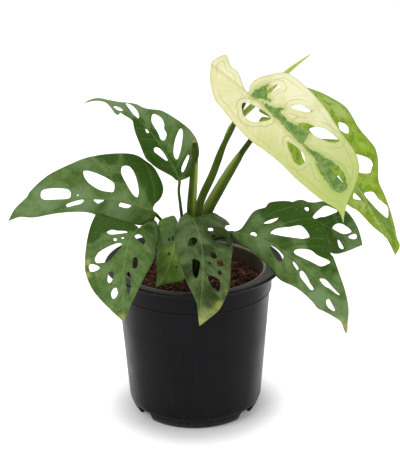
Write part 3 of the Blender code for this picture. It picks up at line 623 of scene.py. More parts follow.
leaves["variegated"] = dict(
    base=(44.3, -14, 276.1), length=130, heading=-24, sweep=-11, rise=-33, droop=20, hook=30, roll=48,
    twist=0, fold=(6, -6), curl=(15, 20), lean=(68, 24), wave=0.5,
    left=[(125, 1.2), (118.5, 4), (113, 8.5), (99, 24), (93, 27.5), (86, 29.5), (68.5, 30), (46, 34),
          (29, 35.5), (16.5, 35), (12, 33.5), (8, 30), (3.5, 23), (0, 18), (-2.5, 12), (-2.5, 5.5),
          (-1, 2.5)],
    right=[(-4.5, 1.5), (-13, 6.5), (-19, 9), (-23, 8.5), (-27.5, 10.5), (-32, 13.5), (-35, 12), (-38, 4.5),
           (-38, 1), (-31.5, -8.5), (-27, -13), (-22, -17), (-16, -20.5), (-8.5, -22.5), (1.5, -25),
           (14, -26), (32, -27), (55, -23), (68.5, -22), (81, -20.5), (104.5, -12.5), (119, -2.5)],
    holes=[[(5, -13.5), (2.5, -11), (2.5, -8), (8.5, -5.5), (20, -3), (27, -3.5), (25.5, -8), (21.5, -12.5),
            (16, -16), (9.5, -16)],
           [(10.5, 9), (10.5, 14.5), (12.5, 20), (15.5, 20.5), (14.5, 16), (13, 11)],
           [(32.5, 13.5), (34, 18.5), (37.5, 21.5), (43.5, 23), (45.5, 24.5), (44, 21), (41, 18)],
           [(45.5, 7.5), (48, 12.5), (55, 16.5), (61, 21.5), (67.5, 23.5), (73.5, 24.5), (73.5, 21.5),
            (70.5, 17.5), (65.5, 14), (56.5, 10)],
           [(49.5, -8), (53.5, -6), (63.5, -4.5), (70, -6.5), (71.5, -9.5), (70.5, -12.5), (65.5, -14),
            (57.5, -11.5)],
           [(77.5, -1.6), (79, -0.8), (87.5, -1.6), (87, -3)],
           [(84.5, 6), (89.5, 11), (97, 11.5), (102, 10), (97.5, 8), (90, 6)]],
    patches=[[(3, 0), (3.5, 6), (5.5, 11), (8, 14.5), (10, 9.5), (14.5, 7), (17, 6), (11.5, 3.5), (7.5, 1)],
             [(12.5, 2), (20.5, 2.5), (29, 8.5), (28, 4.5), (36, 4), (41, 4.5), (47, 6.5), (51.5, 7),
              (56, 8.5), (58, 4.5), (58, 1), (63, 1), (69, 3.5), (73, 5), (78.5, 4.5), (77, 1), (60, -0.5),
              (47.5, -1), (33.5, -0.5), (23, -0.5)],
             [(71, 3.5), (78.5, 7.5), (86, 10.5), (92.5, 12), (101, 11.5), (106, 8.5), (106, 2.5),
              (99.5, -1), (90, -2), (77.5, -0.5)]],
    paintedSheen=[(30, 28, 13, 1.0), (58, 26, 12, 1.0), (14, 26, 10, 0.8), (-20, 2, 12, 0.5)])
leaves["lime"] = dict(
    base=(65.3, 14, 248.9), length=167, heading=20, sweep=-49, rise=-20, droop=70, hook=-37, roll=52,
    twist=0, fold=(6, 5), curl=(15, 15), lean=(70, 20), wave=0.7,
    left=[(162, 7.5), (154, 9), (143, 12.5), (119, 17.5), (111, 18.5), (105.5, 20), (100.5, 24), (88.5, 35),
          (83.5, 37.5), (70.5, 39.5), (64, 42.5), (54, 48.5), (42.5, 48), (35, 47), (24.5, 43.5),
          (18, 36.5), (10.5, 27), (-8, 10.5), (-12.5, 3.5), (-9, 1.5)],
    right=[(-9, -1.5), (-12.5, -7.5), (-9.5, -16.5), (0.5, -25), (24.5, -32.5), (50, -34), (75, -29.5),
           (108, -16), (117, -11), (133.5, -6), (142, -2.4), (148.5, 0.5), (154, 1), (161.5, 0.5)],
    holes=[[(53.5, 27), (57.5, 31), (61.5, 31.5), (64, 29), (63.5, 25), (57.5, 23)],
           [(76, 14), (86.5, 23.5), (92, 24.5), (95, 20), (96.5, 16), (90.5, 8.5), (82.5, 8)],
           [(101.5, -6), (110, -3.5), (108.5, -6), (104.5, -9.5)],
           [(108, 1.5), (108.5, 6.5), (111.5, 10), (118, 11), (127, 14.5), (132.5, 12.5), (135.5, 9.5),
            (129, 6.5), (121, 4)],
           [(13, 15), (16.5, 20.5), (23, 24), (30.5, 24), (30.5, 18.5), (24.5, 14), (17, 12)],
           [(35, 4), (38, 9), (43.5, 15.5), (52.5, 20), (61, 20.5), (61.5, 16), (54.5, 9), (45, 3)],
           [(33, -17), (37, -15), (43.5, -17.5), (47, -22.5), (44.5, -25), (38, -21.5)],
           [(78.5, -11), (81, -9.5), (87, -9.5), (90, -10), (87, -12), (82.5, -12)]],
    patches=[[(98, -1), (106, 4), (114.5, 10), (125.5, 12), (135, 12), (145, 9), (159.5, 5), (150, 4.5),
              (134, 3), (117.5, 0), (106, -4.5)]],
    paintedSheen=[(22, 40, 15, 1.0), (48, 45, 14, 0.9), (112, -6, 10, 0.7), (140, 4, 12, 0.6)])


def leafSurface(leaf):  # gives the point in mm at (along, across) and a lift off the surface
    length = leaf["length"]
    share = np.linspace(0, 1, leafStyle["steps"])
    heading = np.radians(leaf["heading"] + leaf["sweep"] * share)
    rise = np.radians(leaf["rise"] - leaf["droop"] * share - leaf["hook"] * share ** 4)
    turn = np.radians(leaf["roll"] + leaf["twist"] * share)[:, None]
    ahead = np.stack([np.cos(rise) * np.cos(heading), np.cos(rise) * np.sin(heading), np.sin(rise)], 1)
    level = np.stack([-np.sin(heading), np.cos(heading), 0 * heading], 1)
    above = np.cross(ahead, level)
    side = np.cos(turn) * level + np.sin(turn) * above
    up = np.cos(turn) * above - np.sin(turn) * level
    steps = (ahead[1:] + ahead[:-1]) / 2 * (length / (leafStyle["steps"] - 1))
    midrib = np.array(leaf["base"], float) + np.vstack([np.zeros(3), np.cumsum(steps, 0)])
    rows = np.hstack([midrib, ahead, side, up])

    def place(u, v, lift=0.0):
        held = min(max(u, 0), length)
        where = held / length * (leafStyle["steps"] - 1)
        low = min(int(where), leafStyle["steps"] - 2)
        row = rows[low] + (rows[low + 1] - rows[low]) * (where - low)
        fold = math.radians(leaf["fold"][0 if v >= 0 else 1])
        bend = math.radians(leaf["curl"][0 if v >= 0 else 1]) / leafStyle["bendReach"]
        angle = fold - bend * abs(v)
        across = math.copysign((math.sin(fold) - math.sin(angle)) / bend, v)
        drop = (math.cos(angle) - math.cos(fold)) / bend
        lean = math.copysign(math.sin(angle), v)
        spot = (row[0:3] + row[3:6] * (u - held) + row[6:9] * (across - lean * lift)
                + row[9:12] * (drop + math.cos(angle) * lift))
        return Vector(spot.tolist())

    return place


def rimDistance(points, ring):  # distance of each point from an outline, and whether it is inside
    ring = np.array([(p.x, p.y) for p in ring])
    inside = np.zeros(len(points), bool)
    away = np.full(len(points), 1e9)
    for (x1, y1), (x2, y2) in zip(ring, np.roll(ring, -1, 0)):
        crosses = (y1 > points[:, 1]) != (y2 > points[:, 1])
        x = x1 + (points[:, 1] - y1) * (x2 - x1) / (y2 - y1 if y2 != y1 else 1e-12)
        inside ^= crosses & (points[:, 0] < x)
        run = np.array([x2 - x1, y2 - y1])
        t = np.clip(((points - (x1, y1)) @ run) / max(run @ run, 1e-12), 0, 1)
        away = np.minimum(away, np.hypot(*(points - (x1, y1) - t[:, None] * run).T))
    return away, inside


def veinStart(leaf, u, v):
    # where the side vein through a point leaves the midrib, in mm; below 0 in the fan behind the base
    reach = abs(v)
    u = u - leafStyle["vein"] * reach * reach
    first, last = (math.radians(a) for a in leaf["lean"])
    turn = math.atan2(reach, u)
    if turn > first:
        return -(turn - first) / math.radians(leafStyle["fan"]) * 10
    start = u - reach / math.tan(first)
    for _ in range(8):
        share = min(max(start / leaf["length"], 0), 1)
        start = (start + u - reach / math.tan(first + (last - first) * share)) / 2
    return max(start, 0.0)


def veinStarts(leaf, half):  # side veins run between the holes, and further ones fill wide spaces
    spans = []
    for hole in leaf["holes"]:
        if (sum(v for _, v in hole) >= 0) == (half == 0):
            starts = [veinStart(leaf, u, v) for u, v in hole]
            if max(starts) > 1:
                spans.append([max(min(starts), 0), max(starts)])
    spans.sort()
    merged = []
    for span in spans:
        if merged and span[0] < merged[-1][1] + 0.5:
            merged[-1][1] = max(merged[-1][1], span[1])
        else:
            merged.append(span)
    stops = [0.0]
    for (_, end), (begin, _) in zip(merged, merged[1:]):
        if (end + begin) / 2 - stops[-1] > 5:
            stops.append((end + begin) / 2)
    stops.append(leaf["length"] * 0.95)
    full = [stops[0]]
    for a, b in zip(stops, stops[1:]):
        parts = max(1, round((b - a) / leafStyle["veinGap"]))
        full += [a + (b - a) * (k + 1) / parts for k in range(parts)]
    return full


def smoothStep(x):
    x = min(max(x, 0.0), 1.0)
    return x * x * (3 - 2 * x)


def flatBlade(margin, holes, cell):
    # an even grid inside the outline, then the strips along the margin and round the holes
    low, high = min(p.x for p in margin), max(p.x for p in margin)
    reach = max(abs(p.y) for p in margin)
    columns, rows = int((high - low) / cell) + 2, 2 * (int(reach / cell) + 1)
    bm = bmesh.new()
    bmesh.ops.create_grid(bm, x_segments=columns, y_segments=rows, size=0.5)
    bmesh.ops.scale(bm, verts=bm.verts[:], vec=(columns * cell, rows * cell, 1))
    bmesh.ops.translate(bm, verts=bm.verts[:], vec=((low + high) / 2, 0, 0))
    spots = np.array([(v.co.x, v.co.y) for v in bm.verts])
    away, keep = rimDistance(spots, margin)
    keep &= away > cell * 0.6
    for hole in holes:
        away, inside = rimDistance(spots, hole)
        keep &= ~inside & (away > cell * 0.6)
    bmesh.ops.delete(bm, geom=[v for v, kept in zip(bm.verts, keep) if not kept], context="VERTS")
    for _ in range(6):
        pinched = [v for v in bm.verts if len(v.link_faces) < 2
                   or sum(1 for e in v.link_edges if e.is_boundary) > 2]
        bmesh.ops.delete(bm, geom=pinched, context="VERTS")
    edges = [e for e in bm.edges if e.is_boundary]
    for ring in [margin] + holes:
        corners = [bm.verts.new((p.x, p.y, 0)) for p in ring]
        edges += [bm.edges.new(pair) for pair in zip(corners, corners[1:] + corners[:1])]
    bmesh.ops.triangle_fill(bm, use_beauty=True, edges=edges, normal=(0, 0, 1))
    long = [e for e in bm.edges if not e.is_boundary and e.calc_length() > cell * 2.2]
    bmesh.ops.subdivide_edges(bm, edges=long, cuts=1)
    bmesh.ops.triangulate(bm, faces=[f for f in bm.faces if len(f.verts) > 4])
    bmesh.ops.reverse_faces(bm, faces=[f for f in bm.faces if f.normal.z < 0])
    return bm


def outlineArea(ring):
    return abs(sum(a.x * b.y - b.x * a.y for a, b in zip(ring, ring[1:] + ring[:1]))) / 2


def makeBlade(name, leaf, materials, slot):
    place = leafSurface(leaf)
    tip = (leaf["length"], 0)
    gap = leafStyle["edgeGap"]
    margin = evenly(throughPoints([tip] + leaf["left"] + [(0, 0)], 8), gap)[:-1]
    margin += evenly(throughPoints([(0, 0)] + leaf["right"] + [tip], 8), gap)[:-1]
    holes = [evenly(throughPoints(hole, 8, closed=True), gap * 0.8, closed=True) for hole in leaf["holes"]]
    wanted = outlineArea(margin) - sum(outlineArea(hole) for hole in holes)
    for cell in leafStyle["cells"]:  # the first grid that fills the outline and no hole
        bm = flatBlade(margin, holes, cell)
        fill = sum(f.calc_area() for f in bm.faces) / wanted
        if abs(fill - 1) < 0.005:
            break
        bm.free()
    print(" ", name, len(bm.faces), "faces, grid", cell, "fill", round(fill, 3))

    names = ("sideVein", "midribAway", "alongLeaf", "marginAway", "holeAway", "patch",
             "worn", "paintedShade", "paintedSheen")
    layers = {key: bm.verts.layers.float.new(key) for key in names}
    plan = bm.verts.layers.float_vector.new("leafPlan")
    spots = np.array([(v.co.x, v.co.y) for v in bm.verts])
    fromMargin = rimDistance(spots, margin)[0]
    fromHoles = np.min([rimDistance(spots, hole)[0] for hole in holes], 0)
    fromPatch = np.full(len(spots), -99.0)
    for patch in leaf.get("patches", []):
        away, inside = rimDistance(spots, throughPoints(patch, 3, closed=True))
        fromPatch = np.maximum(fromPatch, np.where(inside, away, -away))
    starts = [veinStarts(leaf, 0), veinStarts(leaf, 1)]
    for k, vertex in enumerate(bm.verts):
        u, v = vertex.co.x, vertex.co.y
        line = starts[0 if v >= 0 else 1]
        start = veinStart(leaf, u, v)
        count = start / 10 if start < 0 else float(np.interp(start, line, range(len(line))))
        vertex[layers["sideVein"]] = count
        vertex[layers["midribAway"]] = v
        vertex[layers["alongLeaf"]] = u / leaf["length"]
        vertex[layers["marginAway"]] = fromMargin[k]
        vertex[layers["holeAway"]] = fromHoles[k]
        vertex[layers["patch"]] = fromPatch[k]
        # spots of wear, painted shade and painted sheen
        for key in ("worn", "paintedShade", "paintedSheen"):
            vertex[layers[key]] = max([strength * smoothStep(1.5 - math.hypot(u - a, v - b) / size)
                                       for a, b, size, strength in leaf.get(key, [])], default=0)
        vertex[plan] = (u, v, 0)
        # quilted between the side veins, sunk along them and along the midrib
        share = count - math.floor(count)
        nearVein = min(share, 1 - share) * 10
        quilt = leafStyle["quilt"] * math.sin(math.pi * share)
        quilt -= leafStyle["veinSink"] * math.exp(-(nearVein / 0.9) ** 2)
        quilt *= (smoothStep(abs(v) / 7) * smoothStep(fromMargin[k] / 5)
                  * smoothStep(1.15 - u / leaf["length"]))
        groove = -leafStyle["midribSink"] * math.exp(-(v / 1.4) ** 2)
        groove *= 1 - 0.7 * smoothStep(u / leaf["length"])
        ripple = leaf["wave"] * math.sin(u / 6.5 + (0 if v > 0 else 2.1)) * (min(abs(v), 30) / 22) ** 2
        vertex.co = place(u, v, quilt + groove + ripple) * mm
    piece = addPiece("blade_" + name, bm, materials, slot, ["leaf_" + name])
    skin = piece.modifiers.new("thickness", "SOLIDIFY")
    skin.thickness = leafStyle["thickness"] * mm
    skin.offset = 0
    skin.material_offset = 1
    return place


# leaf finishes

leafLooks = {  # veins and midrib say how strongly the two show, fleck the lighter dashes; each look also has a saturated deep green of painted shade and a pale grey-green of painted sheen
    "dark": dict(base=(77, 106, 44), light=(106, 134, 76), deep=(52, 84, 20), vein=(126, 150, 92),
        paintedShade=(46, 80, 4), paintedSheen=(120, 146, 98), under=(100, 130, 70), veins=0.3, midrib=0.3,
        fleck=0.3),
    "front": dict(base=(58, 78, 32), light=(94, 116, 66), deep=(38, 58, 16), vein=(128, 146, 96),
        paintedShade=(40, 58, 10), paintedSheen=(108, 130, 88), under=(100, 130, 72), veins=0.25, midrib=0.3,
        fleck=0.5),
    "small": dict(base=(78, 112, 30), light=(110, 142, 60), deep=(58, 94, 14), vein=(150, 172, 92),
        paintedShade=(66, 104, 12), paintedSheen=(80, 108, 58), under=(120, 150, 80), veins=0.3, midrib=0.5,
        fleck=0.25),
    "variegated": dict(base=(236, 232, 176), light=(243, 239, 196), deep=(224, 226, 150),
        vein=(176, 186, 112), paintedShade=(214, 222, 130), paintedSheen=(252, 249, 208), under=(238, 240, 196),
        veins=0.12, midrib=0.35, fleck=0.0),
    "lime": dict(base=(138, 168, 36), light=(164, 190, 72), deep=(108, 144, 16), vein=(196, 208, 124),
        paintedShade=(108, 146, 8), paintedSheen=(178, 198, 112), under=(156, 178, 72), veins=0.3, midrib=0.6,
        fleck=0.5),
}


def cellNet(tree, plan, width):  # the net of the finest veins
    cells = addNode(tree, "TexVoronoi", {"Vector": plan, "Scale": 0.42}, feature="DISTANCE_TO_EDGE")
    return remap(tree, cells.outputs["Distance"], width, 0.0)


def bladeFinish(name, kind):
    material, tree, shader, _ = startMaterial(name, Roughness=0.42, Specular_IOR_Level=0.13)
    look = leafLooks[kind]
    base, light, deep = look["base"], look["light"], look["deep"]
    plan = attribute(tree, "leafPlan", "Vector")
    vein = attribute(tree, "sideVein")
    across = attribute(tree, "midribAway")
    along = attribute(tree, "alongLeaf")
    margin = attribute(tree, "marginAway")
    hole = attribute(tree, "holeAway")
    cloud = grain(tree, plan, 0.055, 3, 0.5)
    fine = grain(tree, plan, 0.5, 5, 0.65)
    net = cellNet(tree, plan, 0.10)
    toVein = calc(tree, "PINGPONG", vein, 0.5)
    sideLine = remap(tree, toVein, 0.055, 0.012)
    sideLine = times(tree, sideLine, remap(tree, margin, 1.0, 5.0))
    sideLine = times(tree, sideLine, remap(tree, cloud, 0.3, 0.6, 0.45, 1.0))
    centre = calc(tree, "ABSOLUTE", across)
    width = minus(tree, 1.15, times(tree, along, 0.8))
    midLine = remap(tree, calc(tree, "DIVIDE", centre, width), 1.0, 0.55)
    colour = mixed(tree, remap(tree, cloud, 0.35, 0.68), base, light)
    shade = remap(tree, toVein, 0.16, 0.5)
    colour = mixed(tree, times(tree, shade, 0.45), colour, deep)
    if look["fleck"]:
        dashes = stretched(tree, plan, (0.35, 1.0, 1.0))
        flecks = remap(tree, grain(tree, dashes, 0.2, 4, 0.6, 0.6), 0.52, 0.57)
        colour = mixed(tree, times(tree, flecks, look["fleck"]), colour, light)
    tissue = 0.3 if kind != "variegated" else 0.15
    colour = mixed(tree, times(tree, remap(tree, fine, 0.5, 0.66), tissue), colour, light)
    # painted shade along fine crease lines
    creaseShade = remap(tree, grain(tree, plan, 0.3, 4, 0.6, 1.2), 0.46, 0.36)
    colour = mixed(tree, times(tree, creaseShade, tissue * 1.6), colour, deep)
    # pale where the waxy bloom is thick, clear green where it is missing
    # painted sheen: pale grey-green where the softboxes would reflect; painted shade: saturated deep green
    # for blade turned from the light and for light shining through it
    uneven = times(tree, minus(tree, grain(tree, plan, 0.09, 4, 0.6, 0.5), 0.5), 1.3)
    for key, reach, share in (("paintedSheen", 1.0, 0.85), ("paintedShade", 0.85, 0.95)):
        spots = remap(tree, plus(tree, attribute(tree, key), uneven), 0.2, reach)
        colour = mixed(tree, times(tree, spots, share), colour, look[key])
    if kind in ("dark", "front", "small"):
        dust = remap(tree, grain(tree, plan, 0.85, 2, 0.5), 0.63, 0.72)
        colour = mixed(tree, times(tree, dust, 0.4), colour, (164, 182, 132))
    # the patches have ragged edges
    teeth = times(tree, minus(tree, grain(tree, plan, 0.2, 3, 0.6), 0.4), 4.5)
    roughEdge = plus(tree, teeth, times(tree, minus(tree, fine, 0.5), 3.2))
    blot = plus(tree, attribute(tree, "patch"), roughEdge)
    if kind == "variegated":
        # cream at the base, greener towards the tip, with green loops round the holes and green patches
        tipward = remap(tree, plus(tree, along, times(tree, cloud, 0.25)), 0.30, 1.05)
        colour = mixed(tree, times(tree, tipward, 0.9), colour, (178, 200, 98))
        lower = times(tree, remap(tree, across, -4.0, -20.0), remap(tree, along, 0.0, 0.35))
        colour = mixed(tree, times(tree, lower, 0.6), colour, (202, 210, 122))
        wander = times(tree, minus(tree, cloud, 0.5), 5.0)
        shown = remap(tree, grain(tree, plan, 0.035, 2), 0.38, 0.56)
        loops = None
        for distance, reach, strength in ((hole, 4.2, 1.0), (margin, 4.6, 0.7)):
            off = calc(tree, "ABSOLUTE", minus(tree, plus(tree, distance, wander), reach))
            line = times(tree, remap(tree, off, 0.75, 0.1), strength)
            loops = line if loops is None else calc(tree, "MAXIMUM", loops, line)
        loops = times(tree, loops, times(tree, shown, 0.5))
        colour = mixed(tree, loops, colour, (164, 172, 98))
        edgeRing = remap(tree, margin, 1.1, 0.1)
        colour = mixed(tree, times(tree, edgeRing, 0.35), colour, (186, 198, 118))
        patch = remap(tree, blot, -0.3, 0.5)
        patchTone = remap(tree, grain(tree, plan, 0.22, 3), 0.4, 0.6)
        patchColour = mixed(tree, patchTone, (94, 132, 56), (126, 156, 82))
        halo = times(tree, remap(tree, blot, -4.5, -0.5), 0.5)
        colour = mixed(tree, halo, colour, (172, 194, 92))
        colour = mixed(tree, patch, colour, patchColour)
    elif kind == "lime":
        mottle = remap(tree, grain(tree, plan, 0.17, 5, 0.65, 0.8), 0.52, 0.62)
        colour = mixed(tree, times(tree, mottle, 0.7), colour, (98, 134, 16))
        edgeShade = remap(tree, margin, 7.0, 0.5, 0, 0.45)
        colour = mixed(tree, edgeShade, colour, (122, 154, 18))
        colour = mixed(tree, times(tree, remap(tree, blot, -0.6, 0.8), 0.7), colour, (96, 134, 58))
    colour = mixed(tree, times(tree, sideLine, look["veins"]), colour, look["vein"])
    colour = mixed(tree, times(tree, net, 0.10), colour, light)
    colour = mixed(tree, times(tree, midLine, look["midrib"]), colour, look["vein"])
    worn = plus(tree, attribute(tree, "worn"), times(tree, minus(tree, fine, 0.5), 0.4))
    wornColour = mixed(tree, remap(tree, worn, 0.6, 1.0), (182, 184, 92), (170, 140, 98))
    colour = mixed(tree, times(tree, remap(tree, worn, 0.15, 0.95), 0.85), colour, wornColour)
    thin = remap(tree, margin, 0.7, 0.0)
    colour = mixed(tree, times(tree, thin, 0.25), colour, look["vein"])
    rough = remap(tree, fine, 0.3, 0.7, 0.36, 0.5)
    height = minus(tree, times(tree, fine, 0.5), times(tree, net, 0.5))
    height = minus(tree, height, sideLine)
    wear(tree, shader, colour, rough, relief(tree, height, 0.35, 0.00025))
    return material


def undersideFinish(name, kind):
    material, tree, shader, _ = startMaterial(name, Roughness=0.6, Specular_IOR_Level=0.25)
    under = leafLooks[kind]["under"]
    plan = attribute(tree, "leafPlan", "Vector")
    fine = grain(tree, plan, 0.5, 4, 0.6)
    net = cellNet(tree, plan, 0.12)
    toVein = calc(tree, "PINGPONG", attribute(tree, "sideVein"), 0.5)
    sideLine = remap(tree, toVein, 0.07, 0.01)
    darker = tuple(c * 0.88 for c in under)
    paler = tuple(min(255, c * 1.25 + 14) for c in under)
    colour = mixed(tree, remap(tree, fine, 0.35, 0.7), under, darker)
    lines = calc(tree, "MAXIMUM", times(tree, sideLine, 0.6), times(tree, net, 0.2))
    colour = mixed(tree, lines, colour, paler)
    height = plus(tree, times(tree, net, 0.4), sideLine)
    wear(tree, shader, colour, remap(tree, fine, 0.3, 0.7, 0.52, 0.66), relief(tree, height, 0.5, 0.0004))
    return material


bladeKinds = {"variegated": ("variegated", "cream_leaf"), "lime": ("lime", "lime_leaf"),
              "small_front": ("small", "small_leaf"), "front": ("front", "dark_leaf")}
placed = {}
for name, leaf in leaves.items():
    kind, slot = bladeKinds.get(name, ("dark", "dark_leaf"))
    finishes = [bladeFinish(name + "Top", kind), undersideFinish(name + "Underside", kind)]
    placed[name] = makeBlade(name, leaf, finishes, slot)
print("blades made")


# stem, stalks and the rolled leaf

stalks = {  # points in mm from the stem up; each ends at its blade's base
    "upper_left": dict(
        foot=(-3.5, 3.5, 141), via=[(-9, 6, 164), (-10.9, 9, 179), (-11.8, 11, 188)],
        radii=[(0, 2.6), (0.3, 1.5), (0.9, 1.15), (1, 1.3)]),
    "mid_left": dict(
        foot=(-6, 1, 134), via=[(-11, 3, 147), (-18, 3, 155), (-24.5, 1, 163), (-29, -2.5, 170.5)],
        radii=[(0, 2.4), (0.3, 1.6), (0.85, 1.25), (0.95, 1.7), (1, 1.4)]),
    "lower_left": dict(
        foot=(-6, -2.4, 127), via=[(-13, -1.5, 137), (-22, -2.5, 146), (-32, -9, 154),
            (-39.5, -20, 162)],
        radii=[(0, 2.2), (0.3, 1.6), (0.9, 1.3), (1, 1.4)]),
    "small_front": dict(
        foot=(-3, -5, 120), via=[(-5.5, -6.5, 138), (-10.5, -3.6, 155)],
        radii=[(0, 2.2), (0.3, 1.5), (0.9, 1.2), (1, 1.3)]),
    "front": dict(
        foot=(-0.5, -5.5, 128), via=[(-0.5, -9, 148), (-1, -11, 164)],
        radii=[(0, 2.2), (0.3, 1.6), (0.9, 1.3), (1, 1.45)]),
    "right_front": dict(
        foot=(2, -5, 120), via=[(7, -10, 140), (13, -11, 153), (21, -12, 158.5)],
        radii=[(0, 2.4), (0.3, 1.7), (0.9, 1.4), (1, 1.5)]),
    "right_back": dict(
        foot=(0.6, 5.5, 122), via=[(7, 12, 137), (19, 11, 146), (32, 11, 148), (43.5, 14, 151.5),
            (53, 17, 159), (63, 20, 164), (78, 22, 164)],
        radii=[(0, 2.4), (0.3, 1.7), (0.9, 1.4), (1, 1.5)]),
    "variegated": dict(
        foot=(3.5, -3.2, 141), via=[(3.6, -3.8, 158), (4.2, -3, 175), (8.3, -2.6, 189),
            (16.2, -2, 206.2), (24.8, -2, 229.5), (31.5, -2.8, 243.5), (39, -4, 260)],
        radii=[(0, 2.8), (0.12, 3.2), (0.4, 3.3), (0.58, 3.0), (0.66, 2.4), (0.9, 1.7), (1, 1.8)]),
    "lime": dict(
        foot=(3.6, 3, 131), via=[(7, 5, 155), (11.4, 4.6, 172), (21.2, 5, 190.6), (32, 6, 208.9),
            (40.4, 7.5, 221.6), (47, 9.4, 230.4), (56, 12, 242)],
        radii=[(0, 2.9), (0.1, 3.6), (0.2, 4.7), (0.33, 4.9), (0.46, 4.6), (0.61, 4.0), (0.69, 3.3),
            (0.73, 2.5), (0.9, 2.1), (1, 1.9)]),
}
stem = dict(
    centre=-1.0, foot=110.5, top=146.3, radii=[(0, 6.3), (0.25, 6.1), (0.7, 5.6), (0.92, 5.2), (1, 3.6)],
    rings=(124, 131.5, 138.5, 143.5))
oldStalk = dict(
    points=[(-1.6, 0, 144.5), (-1.4, 0, 175), (0.6, 0, 201), (1.6, 0, 214), (2.0, 0, 227),
        (1.7, 0, 234.6)],
    radii=[(0, 4.0), (0.4, 3.9), (0.68, 3.3), (0.82, 2.7), (0.95, 2.3), (1, 1.3)])
spear = dict(
    points=[(24.9, -1.2, 231), (32, 3, 244.5), (42, 6, 254.4), (49.4, 8, 261.3), (63, 10, 273.8),
        (76, 11, 286.5), (86, 12, 294.3), (95.6, 12, 301.3)],
    radii=[(0, 0.8), (0.06, 1.9), (0.15, 2.3), (0.35, 2.45), (0.5, 2.6), (0.68, 2.3), (0.8, 1.8),
        (0.93, 0.9), (1, 0.3)])


def stalkFinish(name, ridge=(104, 130, 62), paleSide=0, paleEnd=0.0, brown=None):
    # ridge is the colour under the blade; a stalk can be pale on one side (1 right, -1 left) up to
    # paleEnd, and dry from the share called brown
    material, tree, shader, place = startMaterial(name, Roughness=0.45, Specular_IOR_Level=0.12)
    along = attribute(tree, "alongStalk")
    around = attribute(tree, "aroundStalk")
    streaks = grain(tree, stretched(tree, place, (1, 1, 0.12)), 900, 4, 0.6)
    cloud = grain(tree, place, 60, 3)
    colour = mixed(tree, remap(tree, cloud, 0.35, 0.65), (42, 62, 2), (60, 78, 8))
    colour = mixed(tree, remap(tree, streaks, 0.45, 0.7, 0, 0.3), colour, (88, 106, 30))
    # painted light: paler on the left side, the side towards the key light
    if not brown:
        colour = mixed(tree, remap(tree, around, -0.4, -0.95, 0, 0.35), colour, (118, 140, 58))
    colour = mixed(tree, remap(tree, along, 0.90, 0.97, 0, 0.4), colour, (112, 134, 52))
    colour = mixed(tree, remap(tree, along, 1.01, 1.06), colour, ridge)
    if paleSide:
        sideways = times(tree, around, float(paleSide))
        low = remap(tree, along, paleEnd, paleEnd - 0.06)
        for start, end, tint in ((-0.3, 0.5, (96, 124, 26)), (0.2, 0.85, (166, 182, 104))):
            colour = mixed(tree, times(tree, remap(tree, sideways, start, end), low), colour, tint)
    if brown:
        dry = remap(tree, plus(tree, along, times(tree, cloud, 0.06)), brown, brown + 0.12)
        dryColour = mixed(tree, remap(tree, streaks, 0.4, 0.6), (36, 54, 8), (58, 76, 18))
        colour = mixed(tree, dry, colour, dryColour)
        colour = mixed(tree, remap(tree, along, 0.975, 0.99), colour, (150, 140, 88))
    rough = remap(tree, streaks, 0.3, 0.7, 0.38, 0.55)
    wear(tree, shader, colour, rough, relief(tree, streaks, 0.35, 0.0004))
    return material


def corkFinish():
    material, tree, shader, place = startMaterial("mainStemSkin", Roughness=0.7, Specular_IOR_Level=0.35)
    patches = grain(tree, place, 220, 5, 0.6)
    lines = grain(tree, stretched(tree, place, (0.3, 0.3, 1)), 500, 4, 0.6)
    colour = mixed(tree, remap(tree, patches, 0.42, 0.6), (70, 84, 34), (112, 92, 58))
    colour = mixed(tree, remap(tree, lines, 0.5, 0.7, 0, 0.6), colour, (62, 46, 30))
    wear(tree, shader, colour, remap(tree, patches, 0.3, 0.7, 0.6, 0.82), relief(tree, lines, 0.5, 0.0008))
    return material


def spearFinish():
    material, tree, shader, place = startMaterial("rolledLeafSkin", Roughness=0.4, Specular_IOR_Level=0.5)
    along = attribute(tree, "alongStalk")
    around = attribute(tree, "aroundStalk")
    fine = grain(tree, place, 500, 4, 0.6)
    colour = mixed(tree, remap(tree, along, 0.1, 0.9), (120, 140, 40), (186, 204, 84))
    colour = mixed(tree, remap(tree, fine, 0.42, 0.66, 0, 0.5), colour, (208, 216, 128))
    # the winding edges of the rolled blade show as fine lines
    turns = calc(tree, "PINGPONG", plus(tree, times(tree, along, 7.0), around), 0.5)
    colour = mixed(tree, remap(tree, turns, 0.06, 0.0, 0, 0.6), colour, (104, 132, 40))
    wear(tree, shader, colour, remap(tree, fine, 0.3, 0.7, 0.36, 0.5), relief(tree, turns, 0.3, 0.0003))
    return material


def makeStalk(name, stalk, finish):
    leaf, place = leaves[name], placed[name]
    end = place(0.4, 0, -1.2 - leafStyle["thickness"])
    foot = Vector(stalk["foot"])
    outward = (foot - Vector((stem["centre"], 0, foot.z))).normalized()
    points = [foot - outward * 1.5, foot + outward * 2.4 + Vector((0, 0, 2.6))] + list(stalk["via"]) + [end]
    path = evenly(throughPoints(points, 12), 1.6)
    bm = bmesh.new()
    growStalk(bm, path, lambda share: between(share, stalk["radii"]), 16)
    # the midrib stands out under the blade
    length = leaf["length"]
    ridge = [place(length * share, 0, -1.5 + 1.2 * share) for share in np.linspace(0.002, 0.93, 60)]
    growStalk(bm, ridge, lambda share: 1.15 - 0.9 * share, 8, begin=1.0)
    bmesh.ops.recalc_face_normals(bm, faces=bm.faces[:])
    addPiece("stalk_" + name, bm, [finish], "stalk", ["petiole_" + name])


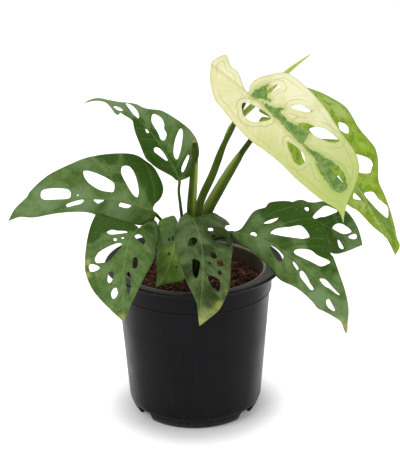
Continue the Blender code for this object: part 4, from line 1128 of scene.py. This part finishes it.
def makeStem():
    path = [Vector((stem["centre"], 0, z)) for z in np.linspace(stem["foot"], stem["top"], 44)]

    def knobbly(angle, share):
        z = stem["foot"] + (stem["top"] - stem["foot"]) * share
        ring = sum(math.exp(-((z - high) / 0.9) ** 2) for high in stem["rings"])
        spot = (math.cos(angle) * 1.5, math.sin(angle) * 1.5, z * 0.25)
        return 1 + 0.07 * ring + 0.05 * noise.noise(spot)

    bm = bmesh.new()
    growStalk(bm, path, lambda share: between(share, stem["radii"]), 36, knobbly)
    bmesh.ops.recalc_face_normals(bm, faces=bm.faces[:])
    addPiece("main_stem_skin", bm, [corkFinish()], "stalk", ["main_stem"], sharp=50)


def makeOldStalk():
    path = evenly(throughPoints(oldStalk["points"], 12), 1.2)

    def shrivelled(angle, share):  # round below, shrunk and ribbed at the dry tip
        dry = smoothStep((share - 0.8) / 0.08)
        flat = 1 - 0.14 * math.sin(angle) ** 2
        return flat * (1 + dry * (0.16 * math.sin(3 * angle + 9 * share) + 0.08 * math.sin(7 * angle)))

    bm = bmesh.new()
    growStalk(bm, path, lambda share: between(share, oldStalk["radii"]), 28, shrivelled)
    bmesh.ops.recalc_face_normals(bm, faces=bm.faces[:])
    finish = stalkFinish("oldStalkSkin", paleSide=1, paleEnd=0.82, brown=0.84)
    addPiece("cut_stalk_skin", bm, [finish], "stalk", ["cut_stalk"], sharp=60)


def makeSpear():
    path = evenly(throughPoints(spear["points"], 12), 1.2)

    def wound(angle, share):  # one edge laps over the other
        turned = (angle / math.tau + share * 1.5) % 1
        return 0.92 + 0.16 * turned

    bm = bmesh.new()
    growStalk(bm, path, lambda share: between(share, spear["radii"]), 28, wound)
    bmesh.ops.recalc_face_normals(bm, faces=bm.faces[:])
    addPiece("rolled_leaf_skin", bm, [spearFinish()], "rolled_leaf", ["rolled_leaf"], sharp=60)


plainSkin = stalkFinish("stalkSkin")
skins = {"variegated": stalkFinish("variegatedStalkSkin", ridge=(206, 212, 142)),
         "lime": stalkFinish("limeStalkSkin", ridge=(160, 182, 82), paleSide=-1, paleEnd=0.74)}
for name, stalk in stalks.items():
    makeStalk(name, stalk, skins.get(name, plainSkin))
makeStem()
makeOldStalk()
makeSpear()
print("stem, stalks and rolled leaf made")
